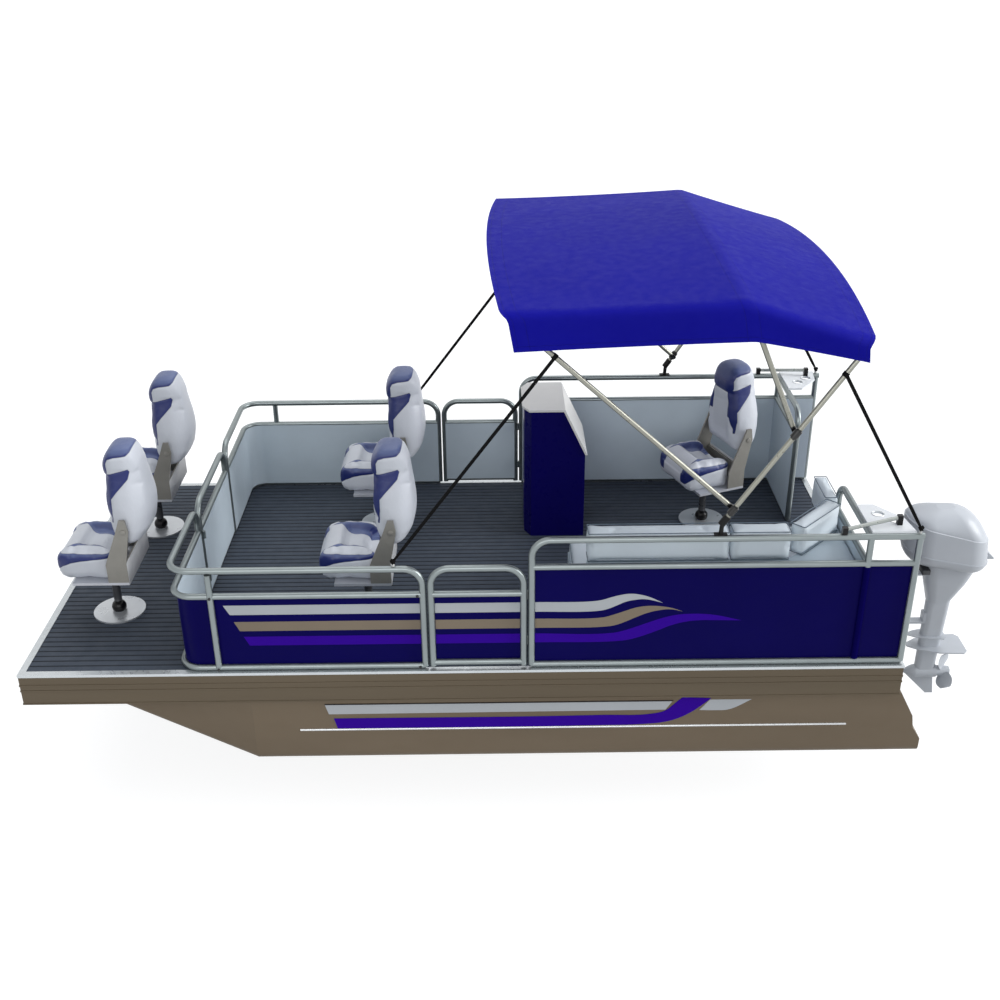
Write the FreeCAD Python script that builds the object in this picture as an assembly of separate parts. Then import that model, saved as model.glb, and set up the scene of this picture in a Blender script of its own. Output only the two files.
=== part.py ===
import FreeCAD, Part
import math
import os

# Pontoon boat with a fenced deck, five pedestal seats, a lounge, a helm console,
# a folding sun top and an outboard motor.
# Millimetres. Bow towards -X, stern towards +X, port -Y, starboard +Y, Z up.
# Origin: on the centreline, at half the deck's length, on the waterline.

V = FreeCAD.Vector
UP = V(0, 0, 1)
AFT = V(1, 0, 0)
ACROSS = V(0, 1, 0)
PORT, STARBOARD = -1, 1
SIDES = {"port": PORT, "starboard": STARBOARD}

# Hull and deck
beam = 2440.0
deck_length = 5040.0
deck_height = 420.0
deck_thickness = 32.0
deck_groove_pitch = 50.0
deck_groove_width = 12.0
deck_groove_depth = 3.0
skirt_height = 201.0
skirt_wall = 20.0
skirt_ridge_height = 9.0
skirt_ridge_proud = 3.0
skirt_ridge_drops = (66.0, 103.0)
trim_thickness = 3.0
trim_flange = 40.0
trim_leg = 14.0
cross_member_height = 103.0
cross_member_width = 60.0
cross_member_wall = 5.0
cross_member_count = 9
cross_member_end_setback = 260.0

pontoon_width = 600.0
pontoon_inset = 25.0
pontoon_bottom_depth = 225.0
pontoon_corner = 60.0
nose_length = 985.0
nose_knuckle_setback = 1303.0
nose_tip_width = 330.0
nose_tip_height = 90.0
nose_tip_corner = 40.0
tail_overhang_top = 18.0
tail_overhang_step = 105.0
tail_overhang_bottom = 170.0
tail_shelf_setback = 60.0
tail_shelf_gap = 3.0
tail_step_height = 165.0
tail_ledge = 14.0
tail_ledge_height = 78.0
tail_heel_height = 110.0
spray_rail_radius = 7.0
spray_rail_start_setback = 1570.0
spray_rail_end_setback = 280.0

# Fence, partitions and gates
tube_radius = 19.0
rail_radius = 18.0
tube_bend = 105.0
fence_corner_bend = 115.0
fence_inset = 35.0
foredeck_length = 923.0
top_rail_height = 654.0
mid_rail_drop = 162.5
aft_top_rail_height = 824.0
aft_mid_rail_drop = 167.0
bottom_rail_height = 21.0
post_outset = 8.0
panel_thickness = 8.0
seat_gap = 0.3
side_gate_front_x = -203.0
side_gate_rear_x = 398.0
bow_gate_half_opening = 442.0
forward_post_setback = 223.0
partition_setback = 287.0
partition_post_y = 532.0
aft_post_setback = 22.0
gate_gap = 6.0
gate_lift = 20.0
hinge_heights = (140.0, 440.0)
hinge_radius = 9.0
hinge_inset = 29.0
hinge_knuckle_length = 24.0
hinge_pin_radius = 4.0
hinge_leaf_thickness = 6.0

# Corner plates on the aft rails
corner_plate_thickness = 12.0
corner_plate_side_reach = 238.0
corner_plate_cross_reach = 317.0
corner_plate_outline_shares = ((0.0, 0.0), (0.0, 1.0), (0.38, 1.0), (0.91, 0.48), (1.0, 0.0))
corner_plate_hole_shares = ((0.36, 0.64), (0.66, 0.40))
corner_plate_hole_radius = 30.0

# Console
console_front_x = 399.0
console_rear_x = 800.0
console_inset = 355.0
console_width = 470.0
console_top_height = 930.0
console_slope_start_x = 655.0
console_slope_low_height = 620.0
console_wall = 8.0
console_chamfer_length = 45.0
console_chamfer_width = 84.0
cap_thickness = 14.0
cap_overhang = 10.0

# Lounge: base, seat cushions and box backrests along the port side and the stern
bench_partition_gap = 28.0
bench_length = 1562.0
bench_inset = 145.0
bench_depth = 590.0
bench_end_depth = 700.0
bench_base_height = 330.0
bench_wall = 10.0
bench_kick = 50.0
bench_kick_height = 80.0
bench_cushion_thickness = 115.0
bench_seam_setback = 695.0
bench_corner_setback = 355.0
bolster_front_setback = 67.0
bolster_thickness = 126.0
bolster_top = 780.0
bolster_height = 185.0
bolster_corner_start_depth = 112.0
bolster_corner_end_depth = 404.0
bolster_corner_end_setback = 72.0
corner_bolster_thickness = 96.0
stern_bolster_thickness = 85.0
bolster_support = 30.0
lounge_gap = 6.0
lounge_round = 14.0

# Pedestal seats, in each seat's own frame: swivel axis at zero, facing -X
bow_seat_setback = 403.0
bow_seat_y = 535.0
mid_seat_x = -575.0
mid_seat_y = 575.0
helm_seat_setback = 882.0
helm_seat_y = 570.0
helm_seat_turn = 22.0
seat_width = 430.0
pedestal_plate_radius = 155.0
pedestal_plate_thickness = 10.0
pedestal_collar_radius = 44.0
pedestal_collar_height = 34.0
pedestal_post_radius = 24.0
seat_plate_height = 318.0
seat_plate_thickness = 16.0
seat_plate_front = 170.0
running_gap = 0.3
running_play = 0.05
spindle_radius = 14.0
spindle_length = 40.0
cushion_front = 265.0
cushion_rear = 78.0
cushion_top_height = 548.0
cushion_nose_top = 150.0
cushion_nose_low = 190.0
cushion_edge_drop = 20.0
cushion_round = 30.0
bracket_thickness = 14.0
bracket_front_x = 45.0
bracket_rear_x = 165.0
bracket_waist_height = 455.0
bracket_neck_front_x = 132.0
bracket_neck_rear_x = 206.0
bracket_tip_front_x = 160.0
bracket_tip_rear_x = 194.0
bracket_tip_height = 745.0
bracket_cross_thickness = 16.0
back_pivot_x = 176.0
back_pivot_height = 668.0
back_pivot_radius = 11.0
back_pin_inset = 40.0
back_bottom_height = 552.0
back_front_x = 92.0
back_foot_x = 205.0
back_rear_x = 372.0
back_waist_height = 790.0
back_head_height = 1075.0
back_top_height = 1255.0
back_top_front_x = 205.0
back_top_rear_x = 330.0
back_top_rear_drop = 20.0
back_side_gap = 5.0
back_round = 28.0

# Sun top: bows, canopy, straps and stowed braces
bow_radius = 14.0
bow_bend = 150.0
bow_crown_peak = 150.0
bow_crown_bend_share = 0.8
rear_bow_inset = 5.0
inner_bow_step = 40.0
jaw_setback = 1100.0
jaw_height = 915.0
rear_bow_reach = 674.0
rear_bow_rise = 1018.0
front_clamp_share = 0.0737
front_bow_reach = -1215.0
front_bow_rise = 1097.0
middle_clamp_share = 0.508
middle_bow_reach = -300.0
middle_bow_rise = 696.0
clamp_radius = 21.0
clamp_length = 50.0
clamp_pin_radius = 6.0
clamp_eye_radius = 13.0
clamp_eye_thickness = 14.0
clamp_eye_clearance = 24.0
mount_lead = 5.0
mount_foot_length = 70.0
mount_foot_width = 30.0
mount_foot_height = 8.0
mount_stem_radius = 12.0
mount_socket_radius = 20.0
mount_socket_length = 60.0
canopy_thickness = 7.0
canopy_overreach = 28.0
canopy_bend = 60.0
canopy_shoulder = 75.0
canopy_seam_lap = 20.0
canopy_front_drop = 183.0
canopy_middle_drop = 181.0
canopy_rear_drop = 103.0
canopy_front_rake = 48.0
canopy_middle_rake = 43.0
canopy_rear_rake = -8.0
strap_width = 22.0
strap_thickness = 3.0
strap_eye_radius = 8.0
strap_eye_height = 16.0
front_strap_lead = 155.0
rear_strap_setback = 28.0
front_strap_share = 0.79
rear_strap_share = 0.83
brace_radius = 11.0
brace_front_lead = 150.0
brace_rear_lag = 167.0
brace_inset = 80.0
brace_foot = 28.0
brace_front_rise = 26.0
brace_rear_rise = 42.0

# Outboard motor and the pod that carries it; lengths run aft from the transom's face
pod_width = 480.0
pod_front_setback = 830.0
pod_rake = 330.0
pod_reach = 280.0
pod_bottom_depth = 120.0
pod_wall = 12.0
pod_step_height = 210.0
pod_step_setback = 45.0
transom_height = 270.0
transom_thickness = 45.0
clamp_wall = 16.0
clamp_width = 230.0
clamp_drop = 330.0
clamp_hook_drop = 110.0
tilt_tube_radius = 16.0
tilt_barrel_radius = 32.0
tilt_axis_reach = 38.0
tilt_axis_height = 292.0
steer_axis_reach = 145.0
swivel_width = 110.0
swivel_web_width = 56.0
swivel_web_bottom = 40.0
swivel_tube_radius = 34.0
steer_shaft_radius = 18.0
swivel_top_height = 300.0
swivel_bottom_depth = 60.0
cowl_front_reach = 56.0
cowl_length = 560.0
cowl_half_width = 172.0
cowl_seam_height = 482.0
cowl_height = 321.0
cowl_wall = 6.0
cowl_corner_share = 0.9
# Each level of the cowl: front, aft, width, height, and its fall from front to aft
cowl_seam_shares = (0.007, 0.998, 1.0, 0.0, 0.337)
cowl_crease_shares = (0.0, 0.964, 0.994, 0.567, 0.455)
cowl_dome_shares = ((0.009, 0.955, 0.965, 0.579, 0.455), (0.021, 0.896, 0.925, 0.688, 0.302),
                    (0.061, 0.793, 0.762, 0.832, 0.118), (0.168, 0.677, 0.523, 0.931, 0.025),
                    (0.329, 0.543, 0.221, 0.994, 0.0))
cowl_pan_shares = ((0.025, 0.957, 0.93, -0.156, 0.325), (0.079, 0.857, 0.698, -0.255, 0.274))
cowl_lip_height = 9.0
cowl_lip_proud = 3.0
cowl_fin_width = 90.0
cowl_fin_root_share = 0.985
cowl_fin_tip_share = 1.073
cowl_fin_top_drop = 12.0
cowl_fin_tip_drop = 46.0
cowl_fin_thickness = 9.0
powerhead_front_reach = 160.0
powerhead_aft_reach = 465.0
powerhead_half_width = 90.0
powerhead_height = 190.0
# Each level of the exhaust housing: front and aft reach, half width, height and fall
housing_levels = ((280.0, 438.0, 62.0, 110.0, -20.0), (240.0, 508.0, 84.0, 250.0, 10.0),
                  (205.0, 560.0, 98.0, 401.0, 62.0))
housing_corner_share = 0.8
leg_front_reach = 280.0
leg_aft_reach = 438.0
leg_bottom_aft_reach = 412.0
leg_half_width = 34.0
leg_top_half_width = 46.0
splash_plate_height = -180.0
splash_plate_front_reach = 189.0
splash_plate_length = 251.0
splash_plate_half_width = 68.0
vent_plate_height = -266.0
vent_plate_front_reach = 196.0
vent_plate_length = 386.0
vent_plate_half_width = 118.0
plate_thickness = 8.0
plate_outline_shares = ((0.0, 0.16), (0.2, 0.6), (0.52, 0.93), (0.93, 1.0), (1.0, 0.74))
gearcase_axis_depth = 478.0
gearcase_radius = 46.0
gearcase_front_reach = 196.0
gearcase_shoulder_reach = 280.0
gearcase_swell_share = 0.66
gearcase_aft_reach = 425.0
skeg_front_reach = 228.0
skeg_front_drop = 25.0
skeg_aft_reach = 410.0
skeg_tip_front_reach = 383.0
skeg_tip_aft_reach = 435.0
skeg_bottom_depth = 661.0
skeg_thickness = 12.0
prop_radius = 132.0
prop_hub_radius = 38.0
prop_hub_end_radius = 30.0
prop_hub_length = 90.0
prop_gap = 4.0
prop_blades = 3
prop_shaft_radius = 9.0
prop_blade_thickness = 9.0
blade_radius_shares = (0.2, 0.6, 0.98)
blade_chord_shares = (0.62, 0.86, 0.5)
blade_pitches = (55.0, 38.0, 28.0)

overrun = 50.0

half_beam = beam / 2
bow_x = -deck_length / 2
stern_x = deck_length / 2
fence_y = half_beam - fence_inset
fence_x = bow_x + foredeck_length
mid_rail_height = top_rail_height - mid_rail_drop
aft_mid_rail_height = aft_top_rail_height - aft_mid_rail_drop
aft_post_x = stern_x - aft_post_setback
partition_x = stern_x - partition_setback
console_outer_y = fence_y - console_inset
console_inner_y = console_outer_y - console_width
bench_rear_x = partition_x - bench_partition_gap
bench_front_x = bench_rear_x - bench_length
bench_seam_x = bench_rear_x - bench_seam_setback
bench_corner_x = bench_rear_x - bench_corner_setback
bolster_front_x = bench_front_x + bolster_front_setback
bench_outer_y = fence_y - bench_inset
bench_inner_y = bench_outer_y - bench_depth
bench_end_y = bench_outer_y - bench_end_depth
rear_bow_half_width = fence_y - rear_bow_inset
inner_bow_half_width = rear_bow_half_width - inner_bow_step
canopy_half_width = rear_bow_half_width + canopy_overreach
transom_x = stern_x + pod_reach
tilt_axis_x = transom_x + tilt_axis_reach
steer_axis_x = transom_x + steer_axis_reach
gearcase_aft_x = transom_x + gearcase_aft_reach
seat_places = {
    "bow_port": (bow_x + bow_seat_setback, -bow_seat_y, 0),
    "bow_starboard": (bow_x + bow_seat_setback, bow_seat_y, 0),
    "mid_port": (mid_seat_x, -mid_seat_y, 0),
    "mid_starboard": (mid_seat_x, mid_seat_y, 0),
    "helm": (stern_x - helm_seat_setback, helm_seat_y, helm_seat_turn),
}
deck_underside = deck_height - deck_thickness
pontoon_top = deck_underside - cross_member_height
rail_step = tube_radius - rail_radius
stile_offset = 2 * tube_radius + gate_gap
gate_foot = deck_height + bottom_rail_height + gate_lift
side_hinge_axis = V(side_gate_rear_x - stile_offset / 2, -fence_y + hinge_inset, 0)
bow_hinge_axis = V(fence_x + hinge_inset, -bow_gate_half_opening + stile_offset / 2, 0)
front_rail_top = deck_height + top_rail_height + tube_radius
aft_rail_top = deck_height + aft_top_rail_height + tube_radius
jaw = V(stern_x - jaw_setback, 0, deck_height + jaw_height)
mount_x = jaw.x - mount_lead
front_strap_x = side_gate_front_x - front_strap_lead
rear_strap_x = stern_x - rear_strap_setback
rear_bow_run = V(rear_bow_reach, 0, rear_bow_rise)
front_bow_run = V(front_bow_reach, 0, front_bow_rise)
middle_bow_run = V(middle_bow_reach, 0, middle_bow_rise)
front_pivot = jaw + rear_bow_run * front_clamp_share
middle_pivot = jaw + rear_bow_run * middle_clamp_share


def level(height):
    return deck_height + height


def save(name, shape):
    shape.exportStep("parts/" + name + ".step")


def fuse_all(shapes):
    return shapes[0].multiFuse(shapes[1:]).removeSplitter() if len(shapes) > 1 else shapes[0]


def box(x0, x1, y0, y1, z0, z1):
    low = V(min(x0, x1), min(y0, y1), min(z0, z1))
    return Part.makeBox(abs(x1 - x0), abs(y1 - y0), abs(z1 - z0), low)


def cylinder(centre, axis, radius, length):
    return Part.makeCylinder(radius, length, centre, axis)


def mirrored(shape):
    return shape.mirror(V(0, 0, 0), ACROSS)


def on_side(shape, side):
    return mirrored(shape) if side == STARBOARD else shape


def both_sides(shape):
    return Part.makeCompound([shape, mirrored(shape)])


def prism(points, direction):
    face = Part.Face(Part.makePolygon(points + points[:1]))
    return face.extrude(direction)


def bent_path(points, bends):
    """Straight runs through points, with a tangent arc at each inner point."""
    edges = []
    start = points[0]
    for i in range(1, len(points) - 1):
        corner = points[i]
        before = (points[i - 1] - corner).normalize()
        after = (points[i + 1] - corner).normalize()
        angle = before.getAngle(after)
        reach = bends[i - 1] / math.tan(angle / 2)
        into = corner + before * reach
        out = corner + after * reach
        middle = corner + (before + after).normalize() * (bends[i - 1] / math.sin(angle / 2) - bends[i - 1])
        edges.append(Part.LineSegment(start, into).toShape())
        edges.append(Part.Arc(into, middle, out).toShape())
        start = out
    edges.append(Part.LineSegment(start, points[-1]).toShape())
    return Part.Wire(edges)


def tube(points, radius, bend=tube_bend):
    bends = [bend] * (len(points) - 2) if not isinstance(bend, list) else bend
    path = bent_path(points, bends)
    circle = Part.Wire(Part.Circle(points[0], points[1] - points[0], radius).toShape())
    return path.makePipeShell([circle], True, False)


def rounded_rectangle(centre, along, across, length, width, corner):
    """Closed wire of four lines and four arcs in the plane of along and across."""
    a = along * (length / 2)
    b = across * (width / 2)
    ca = along * corner
    cb = across * corner
    bulge = corner * (1 - math.sqrt(0.5))
    edges = []
    corners = [(1, 1), (-1, 1), (-1, -1), (1, -1)]
    ends = []
    for sa, sb in corners:
        tip = centre + a * sa + b * sb
        first = tip - cb * sb if sa * sb > 0 else tip - ca * sa
        last = tip - ca * sa if sa * sb > 0 else tip - cb * sb
        middle = tip - along * (bulge * sa) - across * (bulge * sb)
        ends.append((first, middle, last))
    for i, (first, middle, last) in enumerate(ends):
        edges.append(Part.Arc(first, middle, last).toShape())
        edges.append(Part.LineSegment(last, ends[(i + 1) % len(ends)][0]).toShape())
    return Part.Wire(edges)


def loft(wires, ruled=False):
    return Part.makeLoft(wires, True, ruled)


def rounded(shape, edges, radius):
    return shape.makeFillet(radius, edges)


# Pontoons

def pontoon(side):
    centre_y = half_beam - pontoon_inset - pontoon_width / 2
    height = pontoon_top + pontoon_bottom_depth
    middle_z = pontoon_top - height / 2
    knuckle_x = bow_x + nose_knuckle_setback
    knuckle = rounded_rectangle(V(knuckle_x, -centre_y, middle_z), ACROSS, UP,
                                pontoon_width, height, pontoon_corner)
    tip_centre = V(knuckle_x - nose_length, -centre_y, pontoon_top - nose_tip_height / 2)
    tip = rounded_rectangle(tip_centre, ACROSS, UP, nose_tip_width, nose_tip_height, nose_tip_corner)
    nose = loft([tip, knuckle], True)
    tail_end = stern_x + tail_overhang_bottom
    log = Part.Face(knuckle).extrude(AFT * (tail_end - knuckle_x))
    low = -pontoon_bottom_depth
    shelf = deck_height - skirt_height - tail_shelf_gap
    outline = [
        V(knuckle_x, 0, low), V(tail_end - tail_ledge, 0, low),
        V(tail_end, 0, low + tail_ledge), V(tail_end, 0, low + tail_heel_height),
        V(stern_x + tail_overhang_step + tail_ledge, 0, low + tail_heel_height + tail_ledge_height),
        V(stern_x + tail_overhang_step, 0, low + tail_heel_height + tail_step_height),
        V(stern_x + tail_overhang_top, 0, shelf), V(stern_x - tail_shelf_setback, 0, shelf),
        V(stern_x - tail_shelf_setback, 0, pontoon_top), V(knuckle_x, 0, pontoon_top)]
    cutter = prism([p + V(0, -half_beam, 0) for p in outline], ACROSS * half_beam)
    return on_side(nose.fuse(log.common(cutter)).removeSplitter(), side)


def spray_rail(side):
    y = -(half_beam - pontoon_inset)
    start = V(bow_x + spray_rail_start_setback, y, 0)
    end = V(stern_x - spray_rail_end_setback, y, 0)
    bar = Part.makeCylinder(spray_rail_radius, end.x - start.x, start, AFT)
    half = box(start.x, end.x, y, y - spray_rail_radius, -spray_rail_radius, spray_rail_radius)
    return on_side(bar.common(half), side)


# Deck, skirt and trim

def cross_members():
    first = bow_x + cross_member_end_setback
    last = stern_x - cross_member_end_setback
    step = (last - first) / (cross_member_count - 1)
    half = half_beam - trim_thickness - skirt_wall
    members = []
    for i in range(cross_member_count):
        x = first + i * step
        web = box(x, x + cross_member_wall, -half, half, pontoon_top, deck_underside)
        edge = x + cross_member_width
        top = box(x, edge, -half, half, deck_underside - cross_member_wall, deck_underside)
        foot = box(x, edge, -half, half, pontoon_top, pontoon_top + cross_member_wall)
        members.append(fuse_all([web, top, foot]))
    return Part.makeCompound(members)


def deck():
    half = half_beam - trim_thickness - skirt_wall
    end = stern_x - trim_thickness - skirt_wall
    count = int((2 * half - 2 * trim_flange) / deck_groove_pitch)
    first = -(count - 1) * deck_groove_pitch / 2
    points = [V(-end, -half, deck_underside), V(-end, -half, deck_height)]
    for i in range(count):
        y = first + i * deck_groove_pitch
        low = deck_height - deck_groove_depth
        points += [V(-end, y - deck_groove_width / 2, deck_height),
                   V(-end, y - deck_groove_width / 2 + deck_groove_depth, low),
                   V(-end, y + deck_groove_width / 2 - deck_groove_depth, low),
                   V(-end, y + deck_groove_width / 2, deck_height)]
    points += [V(-end, half, deck_height), V(-end, half, deck_underside)]
    return prism(points, AFT * (2 * end))


def ring(outer_x, outer_y, wall, low, high):
    outer = box(-outer_x, outer_x, -outer_y, outer_y, low, high)
    x = outer_x - wall
    y = outer_y - wall
    return outer.cut(box(-x, x, -y, y, low - overrun, high + overrun))


def skirt():
    face_x = stern_x - trim_thickness
    face_y = half_beam - trim_thickness
    low = deck_height - skirt_height
    pieces = [ring(face_x, face_y, skirt_wall, low, deck_height)]
    for drop in skirt_ridge_drops + (skirt_height - skirt_ridge_height,):
        top = deck_height - drop
        pieces.append(ring(face_x + skirt_ridge_proud, face_y + skirt_ridge_proud,
                           skirt_ridge_proud + skirt_wall / 2, top - skirt_ridge_height, top))
    return fuse_all(pieces)


def edge_trim():
    flange = ring(stern_x, half_beam, trim_flange, deck_height, deck_height + trim_thickness)
    leg = ring(stern_x, half_beam, trim_thickness, deck_height - trim_leg, deck_height + trim_thickness)
    return fuse_all([flange, leg])


# Fence frames: rails and posts of one section, joined, and the sheet they hold

def forward_frame(radius):
    """Port forward section: from the bow gate round the corner to the side gate."""
    low = level(bottom_rail_height)
    top = level(top_rail_height)
    mid = level(mid_rail_height)
    gate_y = -bow_gate_half_opening
    loop = tube([V(fence_x, gate_y, low), V(fence_x, gate_y, top), V(fence_x, -fence_y, top),
                 V(side_gate_front_x, -fence_y, top), V(side_gate_front_x, -fence_y, low)],
                radius, [tube_bend, fence_corner_bend, tube_bend])
    slim = radius - rail_step
    rails = [tube([V(fence_x, gate_y, z), V(fence_x, -fence_y, z), V(side_gate_front_x, -fence_y, z)],
                  slim, fence_corner_bend) for z in (low, mid)]
    post_y = -fence_y - post_outset
    post = tube([V(fence_x + forward_post_setback, post_y, low),
                 V(fence_x + forward_post_setback, post_y, top - tube_radius)], slim)
    return fuse_all([loop, post] + rails)


def forward_frames():
    """Both forward sections; the bow gate hangs on the port one."""
    post = V(fence_x, -bow_gate_half_opening, 0)
    port = post_hinges(forward_frame(tube_radius), bow_hinge_axis, post)
    return Part.makeCompound([port, mirrored(forward_frame(tube_radius))])


def forward_panel():
    low = level(bottom_rail_height)
    high = level(mid_rail_height)
    points = [V(side_gate_front_x, -fence_y, low), V(fence_x, -fence_y, low),
              V(fence_x, -bow_gate_half_opening, low)]
    points = points[::-1]
    outer = rail_radius - panel_thickness
    path = bent_path(points, [fence_corner_bend])
    start = points[0]
    corners = [start + V(outer, 0, 0), start + V(rail_radius, 0, 0),
               start + V(rail_radius, 0, high - low), start + V(outer, 0, high - low)]
    profile = Part.makePolygon(corners + corners[:1])
    body = path.makePipeShell([profile], True, False, 0)
    return body.cut(forward_frame(tube_radius + seat_gap))


def aft_frame(radius):
    """Port aft section: the side from the gate to the stern, with its partition."""
    low = level(bottom_rail_height)
    top = level(aft_top_rail_height)
    mid = level(aft_mid_rail_height)
    front_x = side_gate_rear_x
    side_loop = tube([V(front_x, -fence_y, low), V(front_x, -fence_y, top),
                      V(aft_post_x + tube_radius, -fence_y, top)], radius)
    slim = radius - rail_step
    parts = [side_loop]
    parts += [tube([V(front_x, -fence_y, z), V(aft_post_x, -fence_y, z)], slim) for z in (low, mid)]
    for x in (partition_x, aft_post_x):
        parts.append(tube([V(x, -fence_y, low), V(x, -fence_y, top)], slim))
    parts.append(tube([V(partition_x, -fence_y, top), V(partition_x, -partition_post_y, top),
                       V(partition_x, -partition_post_y, low)], radius))
    parts += [tube([V(partition_x, -fence_y, z), V(partition_x, -partition_post_y, z)], slim)
              for z in (low, mid)]
    return fuse_all(parts)


def aft_frames():
    """Both aft sections, with the lower hinge knuckles of the side gates."""
    post = V(side_gate_rear_x, -fence_y, 0)
    return both_sides(post_hinges(aft_frame(tube_radius), side_hinge_axis, post))


def aft_panel():
    low = level(bottom_rail_height)
    high = level(aft_mid_rail_height)
    inner_y = -fence_y + rail_radius
    outer_y = inner_y - panel_thickness
    side_sheet = box(side_gate_rear_x, aft_post_x, outer_y, inner_y, low, high)
    cross_x = partition_x - rail_radius
    cross_sheet = box(cross_x, cross_x + panel_thickness, inner_y, -partition_post_y, low, high)
    cutter = aft_frame(tube_radius + seat_gap)
    return Part.makeCompound(side_sheet.cut(cutter).Solids + cross_sheet.cut(cutter).Solids)


def gate_frame(start, end, radius):
    """A gate of bent tube between two posts; start and end are the stiles' feet."""
    low = start.z
    lift = V(0, 0, level(top_rail_height) - low)
    middle = V(0, 0, level(mid_rail_height) - low)
    foot = UP * radius
    loop = tube([start - foot, start + lift, end + lift, end - foot], radius)
    rails = [tube([start + rise, end + rise], radius - rail_step) for rise in (V(0, 0, 0), middle)]
    return fuse_all([loop] + rails)


def gate_sheet(start, end, inward):
    run = end - start
    inner = inward * rail_radius
    outer = inward * (rail_radius - panel_thickness)
    rise = V(0, 0, level(mid_rail_height) - start.z)
    body = prism([start + outer, start + inner, end + inner, end + outer], rise)
    return body.cut(gate_frame(start, end, tube_radius + seat_gap))


def hinge_leaf(axis, tube_centre, height):
    """One knuckle and its leaf to the tube that carries it."""
    foot = V(axis.x, axis.y, level(height))
    knuckle = cylinder(foot, UP, hinge_radius, hinge_knuckle_length)
    reach = V(tube_centre.x - axis.x, tube_centre.y - axis.y, 0)
    side = UP.cross(reach).normalize() * (hinge_leaf_thickness / 2)
    leaf = prism([foot - side, foot + side, foot + reach + side, foot + reach - side],
                 UP * hinge_knuckle_length)
    return fuse_all([knuckle, leaf])


def hinge_pin(axis, height, grow, length):
    return cylinder(V(axis.x, axis.y, level(height)), UP, hinge_pin_radius + grow, length)


def post_hinges(frame, axis, post):
    """Adds the lower knuckles, each with its pin standing up, to a post."""
    knuckles = []
    for height in hinge_heights:
        pin = hinge_pin(axis, height, 0, 2 * hinge_knuckle_length)
        knuckles.append(hinge_leaf(axis, post, height).fuse(pin))
    return frame.multiFuse(knuckles)


def gate_hinges(frame, axis, stile):
    """Adds the upper knuckles, bored for the pins, to a gate."""
    knuckles = []
    for height in hinge_heights:
        leaf = hinge_leaf(axis, stile, height + hinge_knuckle_length + running_gap)
        knuckles.append(leaf.cut(hinge_pin(axis, height, running_play, 3 * hinge_knuckle_length)))
    return frame.multiFuse(knuckles)


def side_gate(side):
    start = V(side_gate_front_x + stile_offset, -fence_y, gate_foot)
    end = V(side_gate_rear_x - stile_offset, -fence_y, gate_foot)
    frame = gate_hinges(gate_frame(start, end, tube_radius), side_hinge_axis, end)
    panel = gate_sheet(start, end, ACROSS)
    return on_side(frame, side), on_side(panel, side)


def bow_gate():
    half = bow_gate_half_opening - stile_offset
    start = V(fence_x, -half, gate_foot)
    end = V(fence_x, half, gate_foot)
    frame = gate_hinges(gate_frame(start, end, tube_radius), bow_hinge_axis, start)
    return frame, gate_sheet(start, end, AFT)


def corner_plates():
    """Flat plates with two round holes, on the rails aft of each partition."""
    corner = V(partition_x, -fence_y, aft_rail_top)
    outline, holes = [[corner + V(corner_plate_side_reach * aft, corner_plate_cross_reach * across, 0)
                       for aft, across in shares]
                      for shares in (corner_plate_outline_shares, corner_plate_hole_shares)]
    plate = prism(outline, UP * corner_plate_thickness)
    for hole in holes:
        plate = plate.cut(cylinder(hole - UP * overrun, UP, corner_plate_hole_radius, 2 * overrun))
    return both_sides(plate)


# Console

def console_outline(grow, foot):
    """Side outline of the console, seen from port, grown outwards."""
    top = level(console_top_height) - cap_thickness
    low = level(console_slope_low_height) - cap_thickness
    slope = V(console_rear_x - console_slope_start_x, 0, low - top)
    normal = V(-slope.z, 0, slope.x).normalize()
    shift = grow * (1 - normal.z) / normal.x
    rear_z = low + grow + (grow - shift) * slope.z / slope.x
    return [V(console_front_x - grow, 0, foot), V(console_front_x - grow, 0, top + grow),
            V(console_slope_start_x + shift, 0, top + grow), V(console_rear_x + grow, 0, rear_z),
            V(console_rear_x + grow, 0, foot)]


def console_form(grow, side_grow, foot):
    """The outline across the console's width, with its two front edges chamfered."""
    inner = console_inner_y - side_grow
    outer = console_outer_y + side_grow
    body = prism([p + ACROSS * inner for p in console_outline(grow, foot)], ACROSS * (outer - inner))
    front = console_front_x - grow
    for y, inward in ((inner, 1), (outer, -1)):
        corner = [V(front, y, foot), V(front + console_chamfer_length, y, foot),
                  V(front, y + inward * console_chamfer_width, foot)]
        body = body.cut(prism(corner, UP * (level(console_top_height) - foot + overrun)))
    return body


def console_body():
    inner = console_form(-console_wall, -console_wall, deck_height - overrun)
    return console_form(0, 0, deck_height).cut(inner)


def console_cap():
    """Bent cover over the top and the sloping dash."""
    below = console_outline(0, deck_height)
    below[0] = below[0] - AFT * overrun
    below[1] = below[1] - AFT * overrun
    below[4] = below[4] + AFT * overrun
    below.insert(4, V(below[4].x, 0, below[3].z))
    cutter = prism([p + ACROSS * (console_inner_y - overrun) for p in below],
                   ACROSS * (console_outer_y - console_inner_y + 2 * overrun))
    return console_form(cap_thickness, cap_overhang, deck_height).cut(cutter)


# Lounge

def lounge_block(inset, kick, low, high):
    """The lounge's plan, along the port side and across to the stern, as a block."""
    front = bench_front_x + kick + inset
    outer = -bench_outer_y + inset
    inner = -bench_inner_y - kick - inset
    end = -bench_end_y - kick - inset
    leg = bench_corner_x + kick + inset
    rear = bench_rear_x - inset
    points = [V(front, outer, low), V(front, inner, low), V(leg, inner, low),
              V(leg, end, low), V(rear, end, low), V(rear, outer, low)]
    return prism(points, UP * (high - low))


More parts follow.
